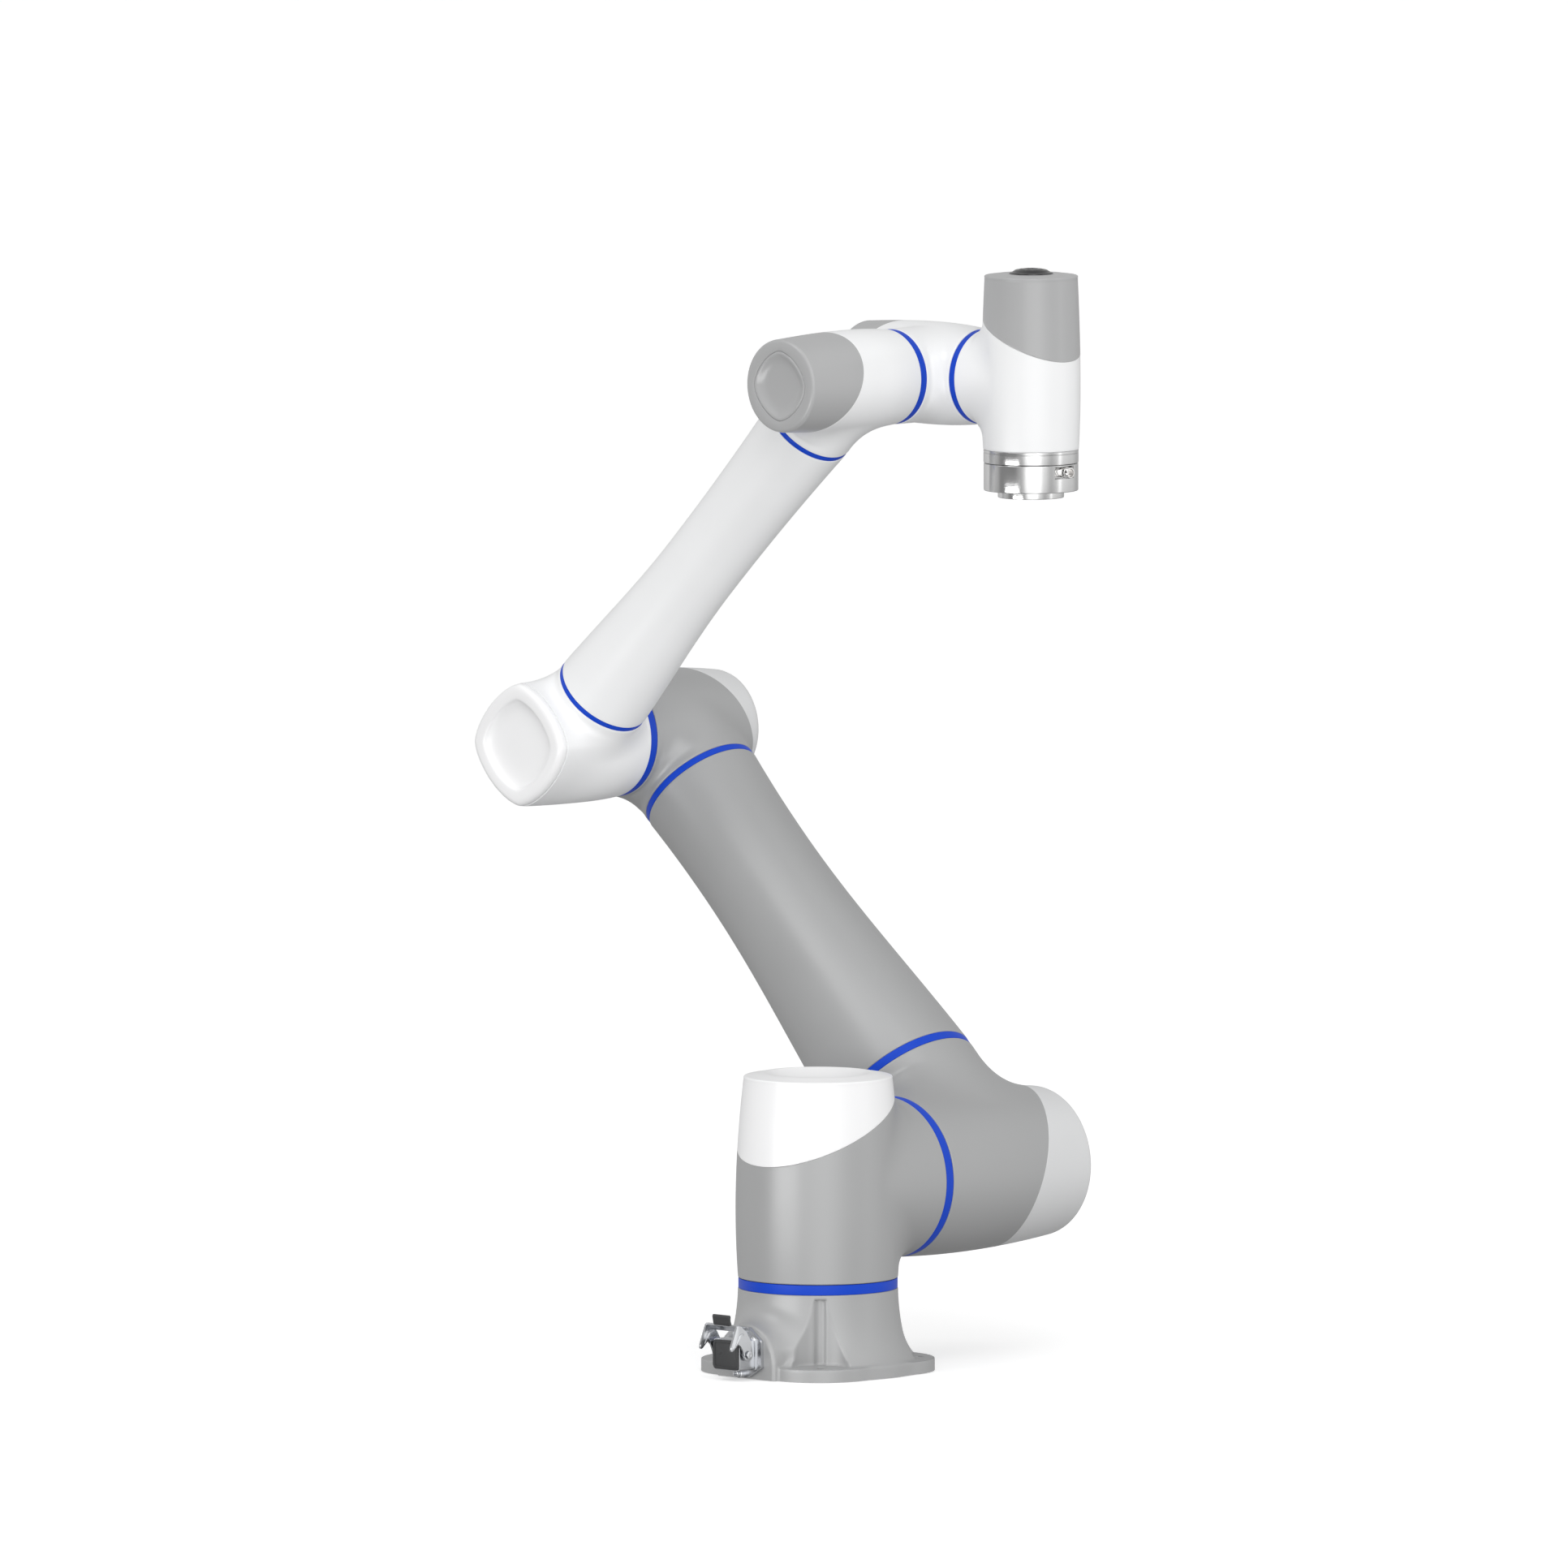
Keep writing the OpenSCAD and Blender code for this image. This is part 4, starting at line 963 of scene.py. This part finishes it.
base = surface(base_field, (-114, -114, -4), (114, 114, base_top + 4), 1.5, 1)
trim(base, Vector((0, 0, base_top - RIM_EDGE)), Z, Z, RIM_EDGE, 12)
bmesh.ops.bisect_plane(base, geom=base.verts[:] + base.edges[:] + base.faces[:], dist=1e-4,
                       plane_co=(0, 0, 0), plane_no=(0, 0, -1), clear_outer=True)
rim_edges = [e for e in base.edges if e.is_boundary and max(v.co.z for v in e.verts) < 0.01]
bmesh.ops.triangle_fill(base, use_beauty=True, edges=rim_edges)
add_piece("base_body", base, PLACES["base"], "base_casting")


# ---------------------------------------------------------------- cable socket on the base

screw_low, screw_high = span("connector_screws", PLACES["base"])
socket_mid = (screw_low[2] + screw_high[2]) / 2
PLATE_T = 4.0
SHELL_HALF_W = 17.0
SHELL_HALF_H = 15.0
SCREW_OFFSET = 19.0
shell_depth = -PAD_Y - span("connector_shell", PLACES["base"])[0][1]
# Here Z points out of the pad, X runs along the pad and Y is up
socket_place = Matrix.Translation((0, -PAD_Y, socket_mid)) @ Matrix.Rotation(math.pi / 2, 4, "X")


def rectangle(half_w, half_h, radius, at=(0, 0)):
    corners = [(-half_w, -half_h), (half_w, -half_h), (half_w, half_h), (-half_w, half_h)]
    return [(x + at[0], y + at[1]) for x, y in rounded(corners, radius)]


def hollow(outer, inner, low, high, bevel=0.4):
    """Tube between two outlines with the same number of points, open at both ends."""
    bm = bmesh.new()
    count = len(outer)
    rows = []
    inset = bevel * 0.7
    middle = np.mean(outer, axis=0)

    def shrink(points, by):
        return [tuple(np.array(p) - by * (np.array(p) - middle)
                      / np.linalg.norm(np.array(p) - middle)) for p in points]
    for points, z in ((inner, low), (outer, low), (outer, high - bevel),
                      (shrink(outer, inset), high), (shrink(inner, -inset), high),
                      (inner, high - bevel)):
        rows.append([bm.verts.new((x, y, z)) for x, y in points])
    for low_row, high_row in zip(rows, rows[1:] + rows[:1]):
        for i in range(count):
            j = (i + 1) % count
            bm.faces.new((low_row[i], low_row[j], high_row[j], high_row[i]))
    return bm


plate = [(-24, 13), (-8, 24.8), (8, 24.8), (24, 13),
         (24, -13), (8, -22.8), (-8, -22.8), (-24, -13)]
mouth = hollow(rectangle(SHELL_HALF_W, SHELL_HALF_H, 4), rectangle(SHELL_HALF_W - 2,
               SHELL_HALF_H - 2, 3), PLATE_T - 0.5, shell_depth)
collar_plate = prism(rectangle(SHELL_HALF_W + 1.6, SHELL_HALF_H + 1.6, 4.5), PLATE_T - 0.5,
                     PLATE_T + 2, 0.6)
bosses = [lathe([(1.6, PLATE_T - 1), (4.6, PLATE_T - 1), (4.4, PLATE_T + 5.4), (3.9, PLATE_T + 6),
                 (1.6, PLATE_T + 6), (1.6, PLATE_T - 1)], 40) for _ in range(2)]
for boss, side in zip(bosses, (-1, 1)):
    boss.transform(Matrix.Translation((0, side * SCREW_OFFSET, 0)))
lever_axis = socket_place.inverted() @ Vector(joint_point("lever_hinge"))
pins = []
for side in (-1, 1):
    pin = lathe([(0, 0), (2.45, 0), (2.45, 5.8), (3.4, 5.9)]
                + arc((3.4, 6.4), 0.5, -60, 90) + [(1.6, 6.9), (1.3, 6.5), (0, 6.5)], 40)
    pin.transform(Matrix.Translation((side * (SHELL_HALF_W - 0.6), lever_axis.y, lever_axis.z))
                  @ Matrix.Rotation(side * math.pi / 2, 4, "Y"))
    pins.append(pin)
add_piece("socket_shell", join(prism(rounded(plate, 1.2), 0, PLATE_T, 0.6), collar_plate, mouth,
                               *bosses, *pins), socket_place, "connector_shell", sharp=30,
          slot="plated_metal")

screws = []
for side in (-1, 1):
    head = [(0, PLATE_T + 7.8), (1.4, PLATE_T + 7.8), (1.6, PLATE_T + 8), (1.6, PLATE_T + 9.9),
            (1.9, PLATE_T + 10.2)] + arc((2.8, PLATE_T + 9.7), 0.5, 90, 0) \
        + [(3.3, PLATE_T + 6), (0, PLATE_T + 6)]
    screw = lathe(head, 36, lambda a, r, z: 1 if r > 2 else 0.93 + 0.07 * abs(math.cos(3 * a)))
    screw.transform(Matrix.Translation((0, side * SCREW_OFFSET, 0)))
    screws.append(screw)
add_piece("socket_screws", join(*screws), socket_place, "connector_screws", sharp=30)

lid = prism(rectangle(SHELL_HALF_W - 0.7, SHELL_HALF_H - 1.1, 3.5), shell_depth - 5,
            shell_depth + 1.6, 0.9)
frame_lip = hollow(rectangle(SHELL_HALF_W - 2.4, SHELL_HALF_H - 2.8, 3),
                   rectangle(SHELL_HALF_W - 3.4, SHELL_HALF_H - 3.8, 2.4), shell_depth + 1.2,
                   shell_depth + 2.1, 0.3)
peg = lathe([(0, shell_depth + 2.2), (0.7, shell_depth + 2.2), (1, shell_depth + 1.9),
             (1, shell_depth + 1), (0, shell_depth + 1)], 24)
peg.transform(Matrix.Translation((-7, 1, 0)))
add_piece("socket_cover", join(lid, frame_lip, peg), socket_place, "connector_cover", sharp=30)


# ---------------------------------------------------------------- locking lever of the socket

LEVER_ARM_X = 20.0
LEVER_ARM_T = 2.0
LEVER_EYE = 2.56
lever_place = Matrix.Translation(joint_point("lever_hinge"))
hook = [(-6, -1), (-7.2, 3.5), (-9.5, 8), (-14, 12), (-21.5, 4.5), (-23.6, 4.6), (-24.4, 7.6),
        (-15.6, 28.6), (-12, 29), (-2, 21), (3.5, 12.5), (6, 1)]
eye = arc((0, 0), 6, 5, -175, 14)


def side_arm(x):
    """Hooked arm seen along X: Y and Z from the pivot, with an eye for the pivot pin."""
    outline = rounded(hook, 1.4, 4) + eye[1:-1]
    bm = prism(outline, 0, LEVER_ARM_T, 0.45)
    pin_hole = rod((0, 0), LEVER_EYE, -1, LEVER_ARM_T + 1, 40)
    bm = cut_with(bm, pin_hole)
    rib = prism(rounded([(-18.6, 9), (-16.4, 9.2), (-10.2, 18), (-6.4, 19.6), (-8, 21.4),
                         (-13, 19.4)], 0.8, 4), LEVER_ARM_T / 2 - 1.5, LEVER_ARM_T / 2 + 1.5, 0.3)
    bm = join(bm, rib)
    turn = Matrix(((0, 0, 1, x), (1, 0, 0, 0), (0, 1, 0, 0), (0, 0, 0, 1)))
    bm.transform(turn)
    return bm


def along_x(outline, half, bevel):
    """Solid over an outline in Y and Z, from -half to +half along X."""
    bm = prism(outline, -half, half, bevel)
    bm.transform(Matrix(((0, 0, 1, 0), (1, 0, 0, 0), (0, 1, 0, 0), (0, 0, 0, 1))))
    return bm


bridge = along_x(rounded([(-15, 27.2), (-14, 29), (-12, 29), (-4.5, 23), (-5.8, 21.6),
                          (-12.5, 26.6)], 0.5, 3), LEVER_ARM_X - 0.5, 0.3)
add_piece("lever_frame", join(side_arm(-LEVER_ARM_X - LEVER_ARM_T / 2),
                              side_arm(LEVER_ARM_X - LEVER_ARM_T / 2), bridge),
          lever_place, "connector_lever", sharp=30)

# Curled handle tab of the lever, thick at its root and rolled at its tip
tab = ([(-11.8, 28.4), (-13.2, 30.6), (-13.8, 33.5)] + arc((-15.2, 36.4), 1.7, 0, 200, 8)
       + [(-16.2, 33.4), (-15.6, 30.2), (-14.8, 27.6)])
handle = along_x(rounded(tab, 0.4, 3), 10.5, 0.5)
add_piece("lever_tab", handle, lever_place, "connector_lever", sharp=30, slot="black_plastic")


# ---------------------------------------------------------------- carried CAD pieces and their materials

for node, obj in NODES.items():
    if not obj.hide_render:
        obj.data.materials.clear()
        obj.data.materials.append(MATERIALS[SLOT_OF[node]])
